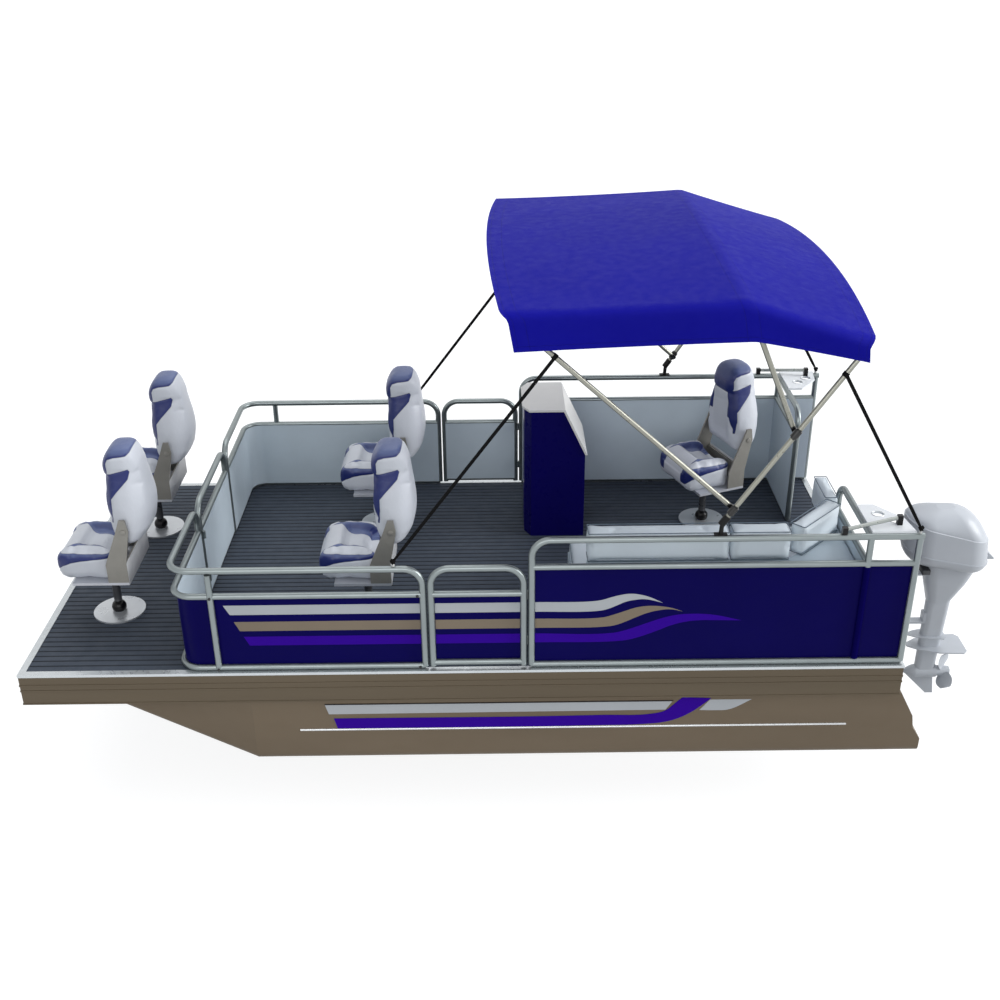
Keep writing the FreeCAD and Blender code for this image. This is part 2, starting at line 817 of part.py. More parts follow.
def corner_bolster_line(z):
    """Inner face of the bolster across the corner, and the step to its outer face."""
    start = V(bench_corner_x, bolster_corner_start_depth - bench_outer_y, z)
    end = V(bench_rear_x - bolster_corner_end_setback, bolster_corner_end_depth - bench_outer_y, z)
    run = (end - start).normalize()
    return start, end, V(run.y, -run.x, 0) * corner_bolster_thickness


def lounge_base():
    """Open-bottomed base with a recessed foot, and the upright behind the bolsters."""
    kick_top = level(bench_kick_height)
    top = level(bench_base_height)
    foot = lounge_block(0, bench_kick, deck_height, kick_top)
    body = lounge_block(0, 0, kick_top, top)
    hollow = lounge_block(bench_wall, bench_kick, deck_height - overrun, top - bench_wall)
    high = level(bolster_top - bolster_height)
    outer = -bench_outer_y
    inner = outer + bolster_support
    rear = bench_rear_x - bolster_support
    side = box(bolster_front_x, bench_rear_x, outer, inner, top, high)
    stern = box(rear, bench_rear_x, outer, -bench_end_y, top, high)
    start, end, out = corner_bolster_line(top)
    behind = end.y + out.y
    corner = prism([V(start.x, inner, top), V(rear, behind, top), V(bench_rear_x, behind, top),
                    V(bench_rear_x, outer, top), V(start.x, outer, top)], UP * (high - top))
    return fuse_all([foot.fuse(body).cut(hollow), side, stern, corner])


def lounge_cushions():
    """Seat cushions: two along the port side and one at the corner and the stern."""
    low = level(bench_base_height)
    outer = -bench_outer_y + bolster_support + lounge_gap
    rear = bench_rear_x - bolster_support - lounge_gap
    start, end, out = corner_bolster_line(low)
    plans = [[V(x0, outer, low), V(x1 - lounge_gap, outer, low), V(x1 - lounge_gap, -bench_inner_y, low),
              V(x0, -bench_inner_y, low)]
             for x0, x1 in ((bench_front_x, bench_seam_x), (bench_seam_x, bench_corner_x))]
    plans.append([V(bench_corner_x, outer + lounge_gap, low), V(rear, end.y + out.y + lounge_gap, low),
                  V(rear, -bench_end_y, low), V(bench_corner_x, -bench_end_y, low)])
    pieces = []
    rim_height = low + bench_cushion_thickness - lounge_gap
    for plan in plans:
        piece = prism(plan, UP * bench_cushion_thickness)
        rim = [e for e in piece.Edges if min(v.Z for v in e.Vertexes) > rim_height]
        pieces.append(rounded(piece, rim, lounge_round))
    return Part.makeCompound(pieces)


def lounge_bolsters():
    """Box backrests: two on the side, one across the corner, one at the stern."""
    low = level(bolster_top - bolster_height)
    high = level(bolster_top)
    outer = -bench_outer_y
    inner = outer + bolster_thickness
    start, end, out = corner_bolster_line(low)
    boxes = [box(bolster_front_x, bench_seam_x - lounge_gap / 2, outer, inner, low, high),
             box(bench_seam_x + lounge_gap / 2, bench_corner_x - lounge_gap, outer, inner, low, high),
             box(bench_rear_x - stern_bolster_thickness, bench_rear_x,
                 end.y + lounge_gap, -bench_end_y, low, high)]
    boxes.append(prism([start, end, end + out, start + out], UP * (high - low)))
    return Part.makeCompound([rounded(b, b.Edges, lounge_round) for b in boxes])


# Pedestal seats

def place_seat(shape, place):
    x, y, turn = place
    placed = shape.copy()
    placed.rotate(V(0, 0, 0), UP, turn)
    placed.translate(V(x, y, deck_height))
    return placed


def pedestal():
    """Round foot, ball collar and post with the socket for the seat's spindle."""
    foot = cylinder(V(0, 0, 0), UP, pedestal_plate_radius, pedestal_plate_thickness)
    collar = Part.makeSphere(pedestal_collar_radius, V(0, 0, pedestal_collar_height))
    collar = collar.common(cylinder(V(0, 0, 0), UP, pedestal_plate_radius, pedestal_plate_radius))
    top = seat_plate_height - running_gap
    post = cylinder(V(0, 0, 0), UP, pedestal_post_radius, top)
    socket = cylinder(V(0, 0, top - spindle_length), UP, spindle_radius + running_play, spindle_length)
    return fuse_all([foot, collar, post]).cut(socket)


def seat_bracket():
    """Swivel plate with its spindle, two side ears and the cross panel behind."""
    half = seat_width / 2 + bracket_thickness
    plate = box(-seat_plate_front, bracket_rear_x, -half, half, seat_plate_height,
                seat_plate_height + seat_plate_thickness)
    foot = V(0, 0, seat_plate_height - spindle_length + running_gap)
    spindle = cylinder(foot, UP, spindle_radius, spindle_length)
    cross = box(bracket_rear_x - bracket_cross_thickness, bracket_rear_x, -half, half,
                seat_plate_height, bracket_waist_height)
    outline = [(bracket_front_x, seat_plate_height), (bracket_rear_x, seat_plate_height),
               (bracket_rear_x, bracket_waist_height), (bracket_neck_rear_x, back_pivot_height),
               (bracket_tip_rear_x, bracket_tip_height), (bracket_tip_front_x, bracket_tip_height),
               (bracket_neck_front_x, back_pivot_height), (bracket_front_x, bracket_waist_height)]
    body = [plate, spindle, cross]
    for y in (-half, half - bracket_thickness):
        body.append(prism([V(x, y, z) for x, z in outline], ACROSS * bracket_thickness))
    bore = cylinder(V(back_pivot_x, -half - overrun, back_pivot_height), ACROSS,
                    back_pivot_radius + running_play, 2 * (half + overrun))
    return fuse_all(body).cut(bore)


def runs_across(edge):
    ends = edge.Vertexes
    return len(ends) == 2 and (ends[1].Point - ends[0].Point).cross(ACROSS).Length < running_play


def seat_cushion():
    """Seat pad with a rounded nose, drawn from the side."""
    low = seat_plate_height + seat_plate_thickness
    high = cushion_top_height
    y = -seat_width / 2
    foot = V(cushion_rear, y, low)
    rear = V(cushion_rear, y, high - cushion_edge_drop)
    brow = V(-cushion_nose_top, y, high)
    nose = V(-cushion_front, y, (low + high) / 2)
    chin = V(-cushion_nose_low, y, low)
    edges = [Part.LineSegment(foot, rear).toShape(), Part.LineSegment(rear, brow).toShape(),
             Part.Arc(brow, nose, chin).toShape(), Part.LineSegment(chin, foot).toShape()]
    body = Part.Face(Part.Wire(edges)).extrude(ACROSS * seat_width)
    return rounded(body, [e for e in body.Edges if not runs_across(e)], cushion_round)


def seat_back():
    """High back: side outline through waist and head, with pins for the ears."""
    half = seat_width / 2 - back_side_gap
    outline = [(back_front_x, back_bottom_height), (back_front_x, back_head_height),
               (back_top_front_x, back_top_height), (back_top_rear_x, back_top_height - back_top_rear_drop),
               (back_rear_x, back_waist_height), (back_foot_x, back_bottom_height)]
    body = prism([V(x, -half, z) for x, z in outline], ACROSS * (2 * half))
    body = rounded(body, [e for e in body.Edges if not runs_across(e)], back_round)
    for side in SIDES.values():
        root = V(back_pivot_x, side * (half - back_pin_inset), back_pivot_height)
        body = body.fuse(cylinder(root, ACROSS * side, back_pivot_radius,
                                  back_pin_inset + back_side_gap + bracket_thickness))
    return body.removeSplitter()


# Sun top

def top_path(middle, run, half_width, bend):
    """Corner points and bends of a crowned top over two legs."""
    lean = run * (1 / run.Length)
    corners = [V(middle.x, -half_width, middle.z), middle + lean * bow_crown_peak,
               V(middle.x, half_width, middle.z)]
    crown_bend = half_width ** 2 / bow_crown_peak * bow_crown_bend_share
    return corners, [bend, crown_bend, bend]


def bow(foot, run, half_width):
    """One bent tube: leg, crowned top and leg."""
    corners, bends = top_path(foot + run, run, half_width, bow_bend)
    feet = [V(foot.x, side * half_width, foot.z) for side in SIDES.values()]
    return tube([feet[0]] + corners + [feet[1]], bow_radius, bends)


def rear_bow():
    """Fixed rear bow with the four clamps that carry the other bows' eyes."""
    lean = rear_bow_run * (1 / rear_bow_run.Length)
    body = bow(jaw, rear_bow_run, rear_bow_half_width)
    reach = rear_bow_half_width - inner_bow_half_width + clamp_eye_thickness / 2
    for pivot in (front_pivot, middle_pivot):
        for side in SIDES.values():
            centre = V(pivot.x, side * rear_bow_half_width, pivot.z)
            ring_body = cylinder(centre - lean * (clamp_length / 2), lean, clamp_radius, clamp_length)
            pin = cylinder(centre, ACROSS * -side, clamp_pin_radius, reach)
            body = body.fuse(ring_body).fuse(pin)
    return body.removeSplitter()


def eyed_bow(pivot, run):
    """A folding bow with a flat bored eye at each foot."""
    body = bow(pivot, run, inner_bow_half_width)
    for side in SIDES.values():
        middle = V(pivot.x, side * inner_bow_half_width, pivot.z)
        face = ACROSS * (clamp_eye_thickness / 2)
        body = body.fuse(cylinder(middle - face, ACROSS, clamp_eye_radius, clamp_eye_thickness))
        for way in PORT, STARBOARD:
            body = body.cut(cylinder(middle + face * way, ACROSS * way, clamp_eye_clearance, bow_radius))
        bore = clamp_pin_radius + running_play
        body = body.cut(cylinder(middle - ACROSS * overrun, ACROSS, bore, 2 * overrun))
    return body


def rail_fittings():
    """On the top rails: sockets for the rear bow's ends, and the straps' eyes."""
    lean = rear_bow_run * (1 / rear_bow_run.Length)
    pieces = []
    for side in SIDES.values():
        y = side * rear_bow_half_width
        along = mount_foot_length / 2
        across = mount_foot_width / 2
        foot = box(mount_x - along, mount_x + along, y - across, y + across,
                   aft_rail_top, aft_rail_top + mount_foot_height)
        base = V(mount_x, y, aft_rail_top + mount_foot_height / 2)
        seat = V(jaw.x, y, jaw.z)
        stem = cylinder(base, seat - base, mount_stem_radius, (seat - base).Length)
        socket = cylinder(seat - lean * mount_stem_radius, lean, mount_socket_radius, mount_socket_length)
        hole = cylinder(seat, lean, bow_radius + seat_gap, mount_socket_length)
        pieces.append(fuse_all([foot, stem, socket]).cut(hole))
        for x, rail_top in ((front_strap_x, front_rail_top), (rear_strap_x, aft_rail_top)):
            pieces.append(cylinder(V(x, side * fence_y, rail_top), UP, strap_eye_radius, strap_eye_height))
    return Part.makeCompound(pieces)


def canopy_reaches(stations):
    """How far the cloth's underside lies from each bow's axis, so that it clears the tube."""
    tops = [pivot + run for pivot, run in stations]
    reaches = []
    for i, (pivot, run) in enumerate(stations):
        near = [tops[j] - tops[i] for j in (i - 1, i + 1) if 0 <= j < len(tops)]
        sine = min(math.sin(run.getAngle(way)) for way in near)
        reaches.append((bow_radius + seat_gap) / sine)
    return reaches


def canopy_station(pivot, run, reach):
    """Closed strip in one bow's plane: the cloth's section over that bow."""
    lean = run * (1 / run.Length)
    edges = []
    ends = []
    for inset in (0, canopy_thickness):
        middle = pivot + run + lean * (reach + canopy_thickness - inset)
        half = canopy_half_width - inset
        corners, bends = top_path(middle, run, half, canopy_bend - inset)
        drop = lean * (canopy_shoulder + canopy_bend - inset)
        points = [corners[0] - drop] + corners + [corners[2] - drop]
        path = bent_path(points, bends)
        ends.append((points[0], points[-1]))
        edges.append(path.Edges)
    far_hem, near_hem = [Part.LineSegment(ends[0][i], ends[1][i]).toShape() for i in (1, 0)]
    return Part.Wire(Part.sortEdges(edges[0] + [far_hem] + edges[1][::-1] + [near_hem])[0]), ends[0][0]


def canopy():
    """Crowned cloth over the three bows, with a flat valance down each side."""
    stations = [(front_pivot, front_bow_run, canopy_front_drop, canopy_front_rake),
                (middle_pivot, middle_bow_run, canopy_middle_drop, canopy_middle_rake),
                (jaw, rear_bow_run, canopy_rear_drop, canopy_rear_rake)]
    wires = []
    upper = []
    lower = []
    reaches = canopy_reaches([station[:2] for station in stations])
    for (pivot, run, drop, rake), reach in zip(stations, reaches):
        wire, hem = canopy_station(pivot, run, reach)
        wires.append(wire)
        top = pivot + run
        seam = hem + run * (canopy_seam_lap / run.Length)
        upper.append(V(seam.x, -canopy_half_width, seam.z))
        lower.append(V(top.x + rake, -canopy_half_width, top.z - drop))
    body = loft(wires, True)
    valance = prism(upper + lower[::-1], ACROSS * canopy_thickness)
    return fuse_all([body, valance, mirrored(valance)])


def strap(start, end):
    """A flat web between two points, its width in the side view."""
    run = end - start
    across = run.cross(ACROSS).normalize() * (strap_width / 2)
    thick = ACROSS * (strap_thickness / 2)
    return prism([start - across - thick, start + across - thick, start + across + thick,
                  start - across + thick], run)


def front_straps():
    eye = V(front_strap_x, -fence_y, front_rail_top + strap_eye_height + strap_width / 2)
    on_bow = front_pivot + front_bow_run * front_strap_share
    beside = -inner_bow_half_width - bow_radius - strap_thickness / 2 - seat_gap
    return both_sides(strap(eye, V(on_bow.x, beside, on_bow.z)))


def rear_straps():
    eye = V(rear_strap_x, -fence_y, aft_rail_top + strap_eye_height + strap_width / 2)
    on_bow = jaw + rear_bow_run * rear_strap_share
    beside = -rear_bow_half_width - bow_radius - strap_thickness / 2 - seat_gap
    return both_sides(strap(eye, V(on_bow.x, beside, on_bow.z)))


def braces():
    """Short brace tubes, folded down on the aft rails and the corner plates."""
    plate_top = aft_rail_top + corner_plate_thickness
    front = V(partition_x - brace_front_lead, -fence_y, aft_rail_top + brace_front_rise)
    rear = V(partition_x + brace_rear_lag, -fence_y + brace_inset, plate_top + brace_rear_rise)
    half = brace_foot / 2
    parts = [cylinder(front, rear - front, brace_radius, (rear - front).Length)]
    for end, foot in ((front, aft_rail_top), (rear, plate_top)):
        parts.append(box(end.x - half, end.x + half, end.y - half, end.y + half, foot, end.z + half))
    return both_sides(fuse_all(parts))


# Motor pod and outboard

def motor_pod():
    """Plated trough hung under the stern, with the transom that the motor clamps on."""
    half = pod_width / 2
    low = -pod_bottom_depth
    step = stern_x - pod_step_setback
    behind = 2 * stern_x - step
    front = stern_x - pod_front_setback
    points = [(front, pontoon_top), (step, pontoon_top), (step, pod_step_height),
              (behind, pod_step_height), (behind, transom_height), (transom_x, transom_height),
              (transom_x, low), (front + pod_rake, low)]
    block = prism([V(x, -half, z) for x, z in points], ACROSS * pod_width)
    front = front + pod_wall * 2
    half = half - pod_wall
    inside = [(front, pontoon_top + overrun), (transom_x - transom_thickness, pontoon_top + overrun),
              (transom_x - transom_thickness, low + pod_wall), (front + pod_rake, low + pod_wall)]
    return block.cut(prism([V(x, -half, z) for x, z in inside], ACROSS * (2 * half)))


def clamp_bracket():
    """Two cheeks hooked over the transom, joined by the tilt tube."""
    half = clamp_width / 2
    top = transom_height
    fore = transom_x - transom_thickness
    aft = tilt_axis_x + tilt_barrel_radius
    points = [(transom_x, top - clamp_drop), (transom_x, top), (fore, top), (fore, top - clamp_hook_drop),
              (fore - clamp_wall, top - clamp_hook_drop), (fore - clamp_wall, top + clamp_wall),
              (tilt_axis_x - tilt_tube_radius, tilt_axis_height + tilt_barrel_radius),
              (aft, tilt_axis_height + tilt_tube_radius), (aft, tilt_axis_height - tilt_tube_radius),
              (transom_x + clamp_wall, top - clamp_drop)]
    cheeks = [prism([V(x, y, z) for x, z in points], ACROSS * clamp_wall)
              for y in (-half, half - clamp_wall)]
    bar = cylinder(V(tilt_axis_x, -half, tilt_axis_height), ACROSS, tilt_tube_radius, clamp_width)
    return fuse_all(cheeks + [bar])


def swivel_bracket():
    """Barrel on the tilt tube, and the column that holds the steering shaft."""
    root = V(tilt_axis_x, -swivel_width / 2, tilt_axis_height)
    barrel = cylinder(root, ACROSS, tilt_barrel_radius, swivel_width)
    height = swivel_top_height + swivel_bottom_depth
    foot = V(steer_axis_x, 0, -swivel_bottom_depth)
    column = cylinder(foot, UP, swivel_tube_radius, height)
    web = box(tilt_axis_x, steer_axis_x, -swivel_web_width / 2, swivel_web_width / 2,
              swivel_web_bottom, swivel_top_height)
    bore = cylinder(root, ACROSS, tilt_tube_radius + running_play, swivel_width)
    shaft = cylinder(foot - UP * overrun, UP, steer_shaft_radius + running_play, height + 2 * overrun)
    return fuse_all([barrel, column, web]).cut(bore).cut(shaft)


def oval(front, aft, half_width, z, corner_share, fall=0):
    """Closed wire; its plane falls by that much from its front to its aft end."""
    run = V(aft - front, 0, -fall)
    corner = min(run.Length / 2, half_width) * corner_share
    return rounded_rectangle(V((front + aft) / 2, 0, z), run * (1 / run.Length), ACROSS,
                             run.Length, 2 * half_width, corner)


def cowl_level(shares, inset=0):
    """One level's oval, drawn in by inset within its own sloping plane."""
    front, aft, width, height, fall = shares
    start = transom_x + cowl_front_reach
    length = cowl_length * (aft - front)
    return oval(start + cowl_length * front + inset, start + cowl_length * aft - inset,
                cowl_half_width * width - inset, cowl_seam_height + cowl_height * height, cowl_corner_share,
                cowl_height * fall * (length - 2 * inset) / length)


def cowl():
    """Hollow cover: a straight band up to a crease, and the dome over it."""
    band = loft([cowl_level(cowl_seam_shares), cowl_level(cowl_crease_shares)], True)
    joint = loft([cowl_level(cowl_crease_shares), cowl_level(cowl_dome_shares[0])], True)
    dome = loft([cowl_level(shares) for shares in cowl_dome_shares])
    start = transom_x + cowl_front_reach
    aft_seam = cowl_seam_height - cowl_height * cowl_seam_shares[4] / 2
    root = start + cowl_length * cowl_fin_root_share
    tip = start + cowl_length * cowl_fin_tip_share
    high = aft_seam + cowl_fin_top_drop + cowl_fin_tip_drop
    fin = prism([V(root, -cowl_fin_width / 2, high), V(tip, -cowl_fin_width / 2, high - cowl_fin_tip_drop),
                 V(tip, -cowl_fin_width / 2, high - cowl_fin_tip_drop - cowl_fin_thickness),
                 V(root, -cowl_fin_width / 2, high - cowl_fin_tip_drop - cowl_fin_thickness)],
                ACROSS * cowl_fin_width)
    inside = [cowl_level(shares, cowl_wall) for shares in (cowl_seam_shares, cowl_crease_shares)]
    inside += [cowl_level(shares, cowl_wall) for shares in cowl_dome_shares[1:-1]]
    mouth = inside[0].copy()
    mouth.translate(UP * -cowl_wall)
    hollow = loft([mouth, inside[0]], True).fuse(loft(inside, True))
    return fuse_all([band, joint, dome, fin]).cut(hollow)


def lower_cowl():
    """Pan under the cowl, with a lip round its top, drawn in towards the leg."""
    seam = cowl_level(cowl_seam_shares, -cowl_lip_proud)
    lip = Part.Face(seam).extrude(UP * -cowl_lip_height)
    return fuse_all([lip, loft([cowl_level(shares) for shares in (cowl_seam_shares,) + cowl_pan_shares])])


def powerhead():
    """A plain block standing on the pan."""
    seam_front, seam_aft, width, height, fall = cowl_seam_shares
    middle = transom_x + cowl_front_reach + cowl_length * (seam_front + seam_aft) / 2
    slope = cowl_height * fall / (cowl_length * (seam_aft - seam_front))
    ends = [transom_x + powerhead_front_reach, transom_x + powerhead_aft_reach]
    y = -powerhead_half_width
    foot = [V(x, y, cowl_seam_height + (middle - x) * slope) for x in ends]
    top = [V(x, y, cowl_seam_height + powerhead_height) for x in ends]
    return prism(foot + top[::-1], ACROSS * (2 * powerhead_half_width))


def steering_yoke():
    """Shaft through the swivel, with an arm above and below it to the leg."""
    low = -swivel_bottom_depth - running_gap - clamp_wall
    high = swivel_top_height + running_gap
    shaft = cylinder(V(steer_axis_x, 0, low), UP, steer_shaft_radius, high - low + clamp_wall)
    parts = [shaft]
    for z in (low, high):
        parts.append(cylinder(V(steer_axis_x, 0, z), UP, swivel_tube_radius, clamp_wall))
        parts.append(box(steer_axis_x, transom_x + leg_front_reach + clamp_wall, -swivel_web_width / 2,
                         swivel_web_width / 2, z, z + clamp_wall))
    return fuse_all(parts)


def leg_plate(front_reach, length, half_width, z):
    """A level plate, narrow in front and widest near its aft edge."""
    half = [V(transom_x + front_reach + length * along, half_width * across, z)
            for along, across in plate_outline_shares]
    other = [V(p.x, -p.y, z) for p in half[::-1]]
    return prism(half + other, UP * plate_thickness)


def gearcase():
    """Barrel with a pointed round nose, turned about the propeller's axis."""
    low = -gearcase_axis_depth
    tip = V(transom_x + gearcase_front_reach, 0, low)
    shoulder = V(transom_x + gearcase_shoulder_reach, 0, low + gearcase_radius)
    swell = V((tip.x + shoulder.x) / 2, 0, low + gearcase_radius * gearcase_swell_share)
    aft = V(gearcase_aft_x, 0, low)
    edges = [Part.Arc(tip, swell, shoulder).toShape(),
             Part.LineSegment(shoulder, aft + UP * gearcase_radius).toShape(),
             Part.LineSegment(aft + UP * gearcase_radius, aft).toShape(),
             Part.LineSegment(aft, tip).toShape()]
    return Part.Face(Part.Wire(edges)).revolve(tip, AFT, math.degrees(math.tau))


def motor_leg():
    """Exhaust housing, leg, plates, gearcase and skeg, with the steering yoke."""
    housing = loft([oval(transom_x + front, transom_x + aft, half, z, housing_corner_share, fall)
                    for front, aft, half, z, fall in housing_levels], True).cut(lower_cowl())
    low = -gearcase_axis_depth
    leg = loft([oval(transom_x + leg_front_reach, transom_x + aft, half, z, cowl_corner_share)
                for aft, half, z in ((leg_bottom_aft_reach, leg_half_width, low),
                                     (leg_aft_reach, leg_top_half_width, housing_levels[0][3]))])
    splash = leg_plate(splash_plate_front_reach, splash_plate_length, splash_plate_half_width,
                       splash_plate_height)
    vent = leg_plate(vent_plate_front_reach, vent_plate_length, vent_plate_half_width, vent_plate_height)
    fin = [(skeg_front_reach, low - skeg_front_drop), (skeg_front_reach, low), (skeg_aft_reach, low),
           (skeg_tip_aft_reach, -skeg_bottom_depth), (skeg_tip_front_reach, -skeg_bottom_depth)]
    skeg = prism([V(transom_x + x, -skeg_thickness / 2, z) for x, z in fin], ACROSS * skeg_thickness)
    shaft = cylinder(V(gearcase_aft_x, 0, low), AFT, prop_shaft_radius,
                     prop_gap + prop_hub_length + prop_shaft_radius)
    return fuse_all([housing, leg, splash, vent, gearcase(), skeg, shaft, steering_yoke()])


def blade(turn):
    """A blade lofted from a steep root to a flatter tip; each section is a lens."""
    wires = []
    for radius_share, chord_share, pitch in zip(blade_radius_shares, blade_chord_shares, blade_pitches):
        half = prop_radius * chord_share / 2
        bulge = ACROSS * (prop_blade_thickness / 2)
        section = Part.Wire([Part.Arc(V(-half, 0, 0), bulge, V(half, 0, 0)).toShape(),
                             Part.Arc(V(half, 0, 0), bulge * -1, V(-half, 0, 0)).toShape()])
        section.rotate(V(0, 0, 0), UP, pitch)
        section.translate(UP * (prop_radius * radius_share))
        wires.append(section)
    body = loft(wires)
    body.rotate(V(0, 0, 0), AFT, turn)
    return body


def propeller():
    start = V(gearcase_aft_x + prop_gap, 0, -gearcase_axis_depth)
    hub = Part.makeCone(prop_hub_radius, prop_hub_end_radius, prop_hub_length, start, AFT)
    parts = [hub]
    for i in range(prop_blades):
        one = blade(math.degrees(math.tau) * i / prop_blades)
        one.translate(start + AFT * (prop_hub_length / 2))
        parts.append(one)
    bore = prop_shaft_radius + running_play
    return fuse_all(parts).cut(cylinder(start - AFT * overrun, AFT, bore, prop_hub_length + 2 * overrun))


os.makedirs("parts", exist_ok=True)
save("pontoons", Part.makeCompound([pontoon(side) for side in SIDES.values()]))
save("spray_rails", Part.makeCompound([spray_rail(side) for side in SIDES.values()]))
save("cross_members", cross_members())
save("deck", deck())
save("deck_skirt", skirt())
save("deck_edge_trim", edge_trim())
save("fence_frames_forward", forward_frames())
save("fence_panels_forward", both_sides(forward_panel()))
save("fence_frames_aft", aft_frames())
save("fence_panels_aft", both_sides(aft_panel()))
for side_name, side in SIDES.items():
    frame, panel = side_gate(side)
    save("gate_frame_" + side_name, frame)
    save("gate_panel_" + side_name, panel)
frame, panel = bow_gate()
save("gate_frame_bow", frame)
save("gate_panel_bow", panel)
save("corner_plates", corner_plates())
save("console_body", console_body())
save("console_cap", console_cap())
save("lounge_base", lounge_base())
save("lounge_cushions", lounge_cushions())
save("lounge_bolsters", lounge_bolsters())
save("seat_pedestals", Part.makeCompound([place_seat(pedestal(), place) for place in seat_places.values()]))
for seat_name, place in seat_places.items():
    save("seat_bracket_" + seat_name, place_seat(seat_bracket(), place))
    save("seat_cushion_" + seat_name, place_seat(seat_cushion(), place))
    save("seat_back_" + seat_name, place_seat(seat_back(), place))
save("top_rail_fittings", rail_fittings())
save("top_bow_rear", rear_bow())
save("top_bow_front", eyed_bow(front_pivot, front_bow_run))
save("top_bow_middle", eyed_bow(middle_pivot, middle_bow_run))
save("top_canopy", canopy())
save("top_straps_front", front_straps())
save("top_straps_rear", rear_straps())
save("top_braces", braces())
save("motor_pod", motor_pod())
save("motor_clamp", clamp_bracket())
save("motor_swivel", swivel_bracket())
save("motor_cowl", cowl())
save("motor_lower_cowl", lower_cowl())
save("motor_powerhead", powerhead())
save("motor_leg", motor_leg())
save("motor_propeller", propeller())
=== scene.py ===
import math

import bmesh
import bpy
from mathutils import Matrix, Vector


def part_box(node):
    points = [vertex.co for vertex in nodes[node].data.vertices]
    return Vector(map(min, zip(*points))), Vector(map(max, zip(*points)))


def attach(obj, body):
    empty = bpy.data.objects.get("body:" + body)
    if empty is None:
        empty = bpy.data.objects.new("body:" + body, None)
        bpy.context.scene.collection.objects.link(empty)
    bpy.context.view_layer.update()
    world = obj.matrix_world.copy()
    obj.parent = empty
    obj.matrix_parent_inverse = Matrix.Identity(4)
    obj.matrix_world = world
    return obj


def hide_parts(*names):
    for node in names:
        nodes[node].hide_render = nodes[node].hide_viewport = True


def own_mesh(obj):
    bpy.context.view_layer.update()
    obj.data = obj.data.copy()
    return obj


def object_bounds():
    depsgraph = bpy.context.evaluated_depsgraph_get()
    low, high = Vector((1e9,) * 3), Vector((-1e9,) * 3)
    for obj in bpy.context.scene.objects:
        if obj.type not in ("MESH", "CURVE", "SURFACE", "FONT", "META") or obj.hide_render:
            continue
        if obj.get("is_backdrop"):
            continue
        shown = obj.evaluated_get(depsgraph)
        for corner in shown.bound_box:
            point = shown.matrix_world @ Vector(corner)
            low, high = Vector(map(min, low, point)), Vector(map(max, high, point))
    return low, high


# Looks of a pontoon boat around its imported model: finishes, stripes, upholstery,
# the sun top's cloth, small fittings, and the studio.
# Metres. Bow towards -X, stern towards +X, port -Y, starboard +Y, Z up, waterline at zero.

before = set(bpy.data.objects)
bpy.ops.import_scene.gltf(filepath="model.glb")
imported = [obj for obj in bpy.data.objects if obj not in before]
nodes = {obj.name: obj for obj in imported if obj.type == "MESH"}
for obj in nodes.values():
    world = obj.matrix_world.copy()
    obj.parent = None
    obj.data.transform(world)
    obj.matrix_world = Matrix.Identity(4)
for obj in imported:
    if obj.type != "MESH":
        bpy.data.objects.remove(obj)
cad_low, cad_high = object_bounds()


# Camera and studio
# The camera stands off the port side and looks down on the deck, as solved from the
# deck's corners. Soft light comes from above, a harder one from over the stern, and a
# broad weak one from the camera's side.

camera_place = Vector((0.203, -6.915, 4.436))
camera_yaw, camera_pitch, camera_roll = math.radians(0.2496), math.radians(27.203), math.radians(-0.5129)
camera_lens = 43.79


def placed(name, data):
    """A new object in the scene."""
    piece = bpy.data.objects.new(name, data)
    bpy.context.scene.collection.objects.link(piece)
    return piece


forward = Vector((math.sin(camera_yaw) * math.cos(camera_pitch),
                  math.cos(camera_yaw) * math.cos(camera_pitch), -math.sin(camera_pitch)))
level_right = Vector((math.cos(camera_yaw), -math.sin(camera_yaw), 0))
level_up = level_right.cross(forward)
right = level_right * math.cos(camera_roll) + level_up * math.sin(camera_roll)
up = right.cross(forward)
camera = placed("camera", bpy.data.cameras.new("camera"))
camera.data.sensor_width = 36.0
camera.data.lens = camera_lens
camera.data.clip_end = 400.0
camera.matrix_world = Matrix.Translation(camera_place) @ Matrix((right, up, -forward)).transposed().to_4x4()
bpy.context.scene.camera = camera
bpy.context.scene.view_settings.view_transform = "Standard"

sky_strength, sky_tint = 0.46, (0.93, 0.96, 1.0, 1)
world = bpy.data.worlds.new("studio")
world.use_nodes = True
sky = world.node_tree
sky.nodes["Background"].inputs["Color"].default_value = sky_tint
sky.nodes["Background"].inputs["Strength"].default_value = sky_strength
white_sky = sky.nodes.new("ShaderNodeBackground")
white_sky.inputs["Color"].default_value = (1, 1, 1, 1)
seen_sky = sky.nodes.new("ShaderNodeMixShader")
sky_path = sky.nodes.new("ShaderNodeLightPath")
seen_share = sky_path.outputs["Is Camera Ray"]
for other_ray in ("Is Glossy Ray", "Is Transmission Ray"):
    larger = sky.nodes.new("ShaderNodeMath")
    larger.operation = "MAXIMUM"
    sky.links.new(seen_share, larger.inputs[0])
    sky.links.new(sky_path.outputs[other_ray], larger.inputs[1])
    seen_share = larger.outputs[0]
sky.links.new(seen_share, seen_sky.inputs["Fac"])
sky.links.new(sky.nodes["Background"].outputs[0], seen_sky.inputs[1])
sky.links.new(white_sky.outputs[0], seen_sky.inputs[2])
sky.links.new(seen_sky.outputs[0], sky.nodes["World Output"].inputs["Surface"])
bpy.context.scene.world = world


def light(name, kind, place, target, power, **settings):
    """A lamp at its place, turned to its target."""
    lamp = bpy.data.lights.new(name, kind)
    lamp.energy = power
    for key, value in settings.items():
        setattr(lamp, key, value)
    piece = placed(name, lamp)
    piece.location = place
    piece.rotation_euler = (Vector(target) - Vector(place)).to_track_quat("-Z", "Y").to_euler()


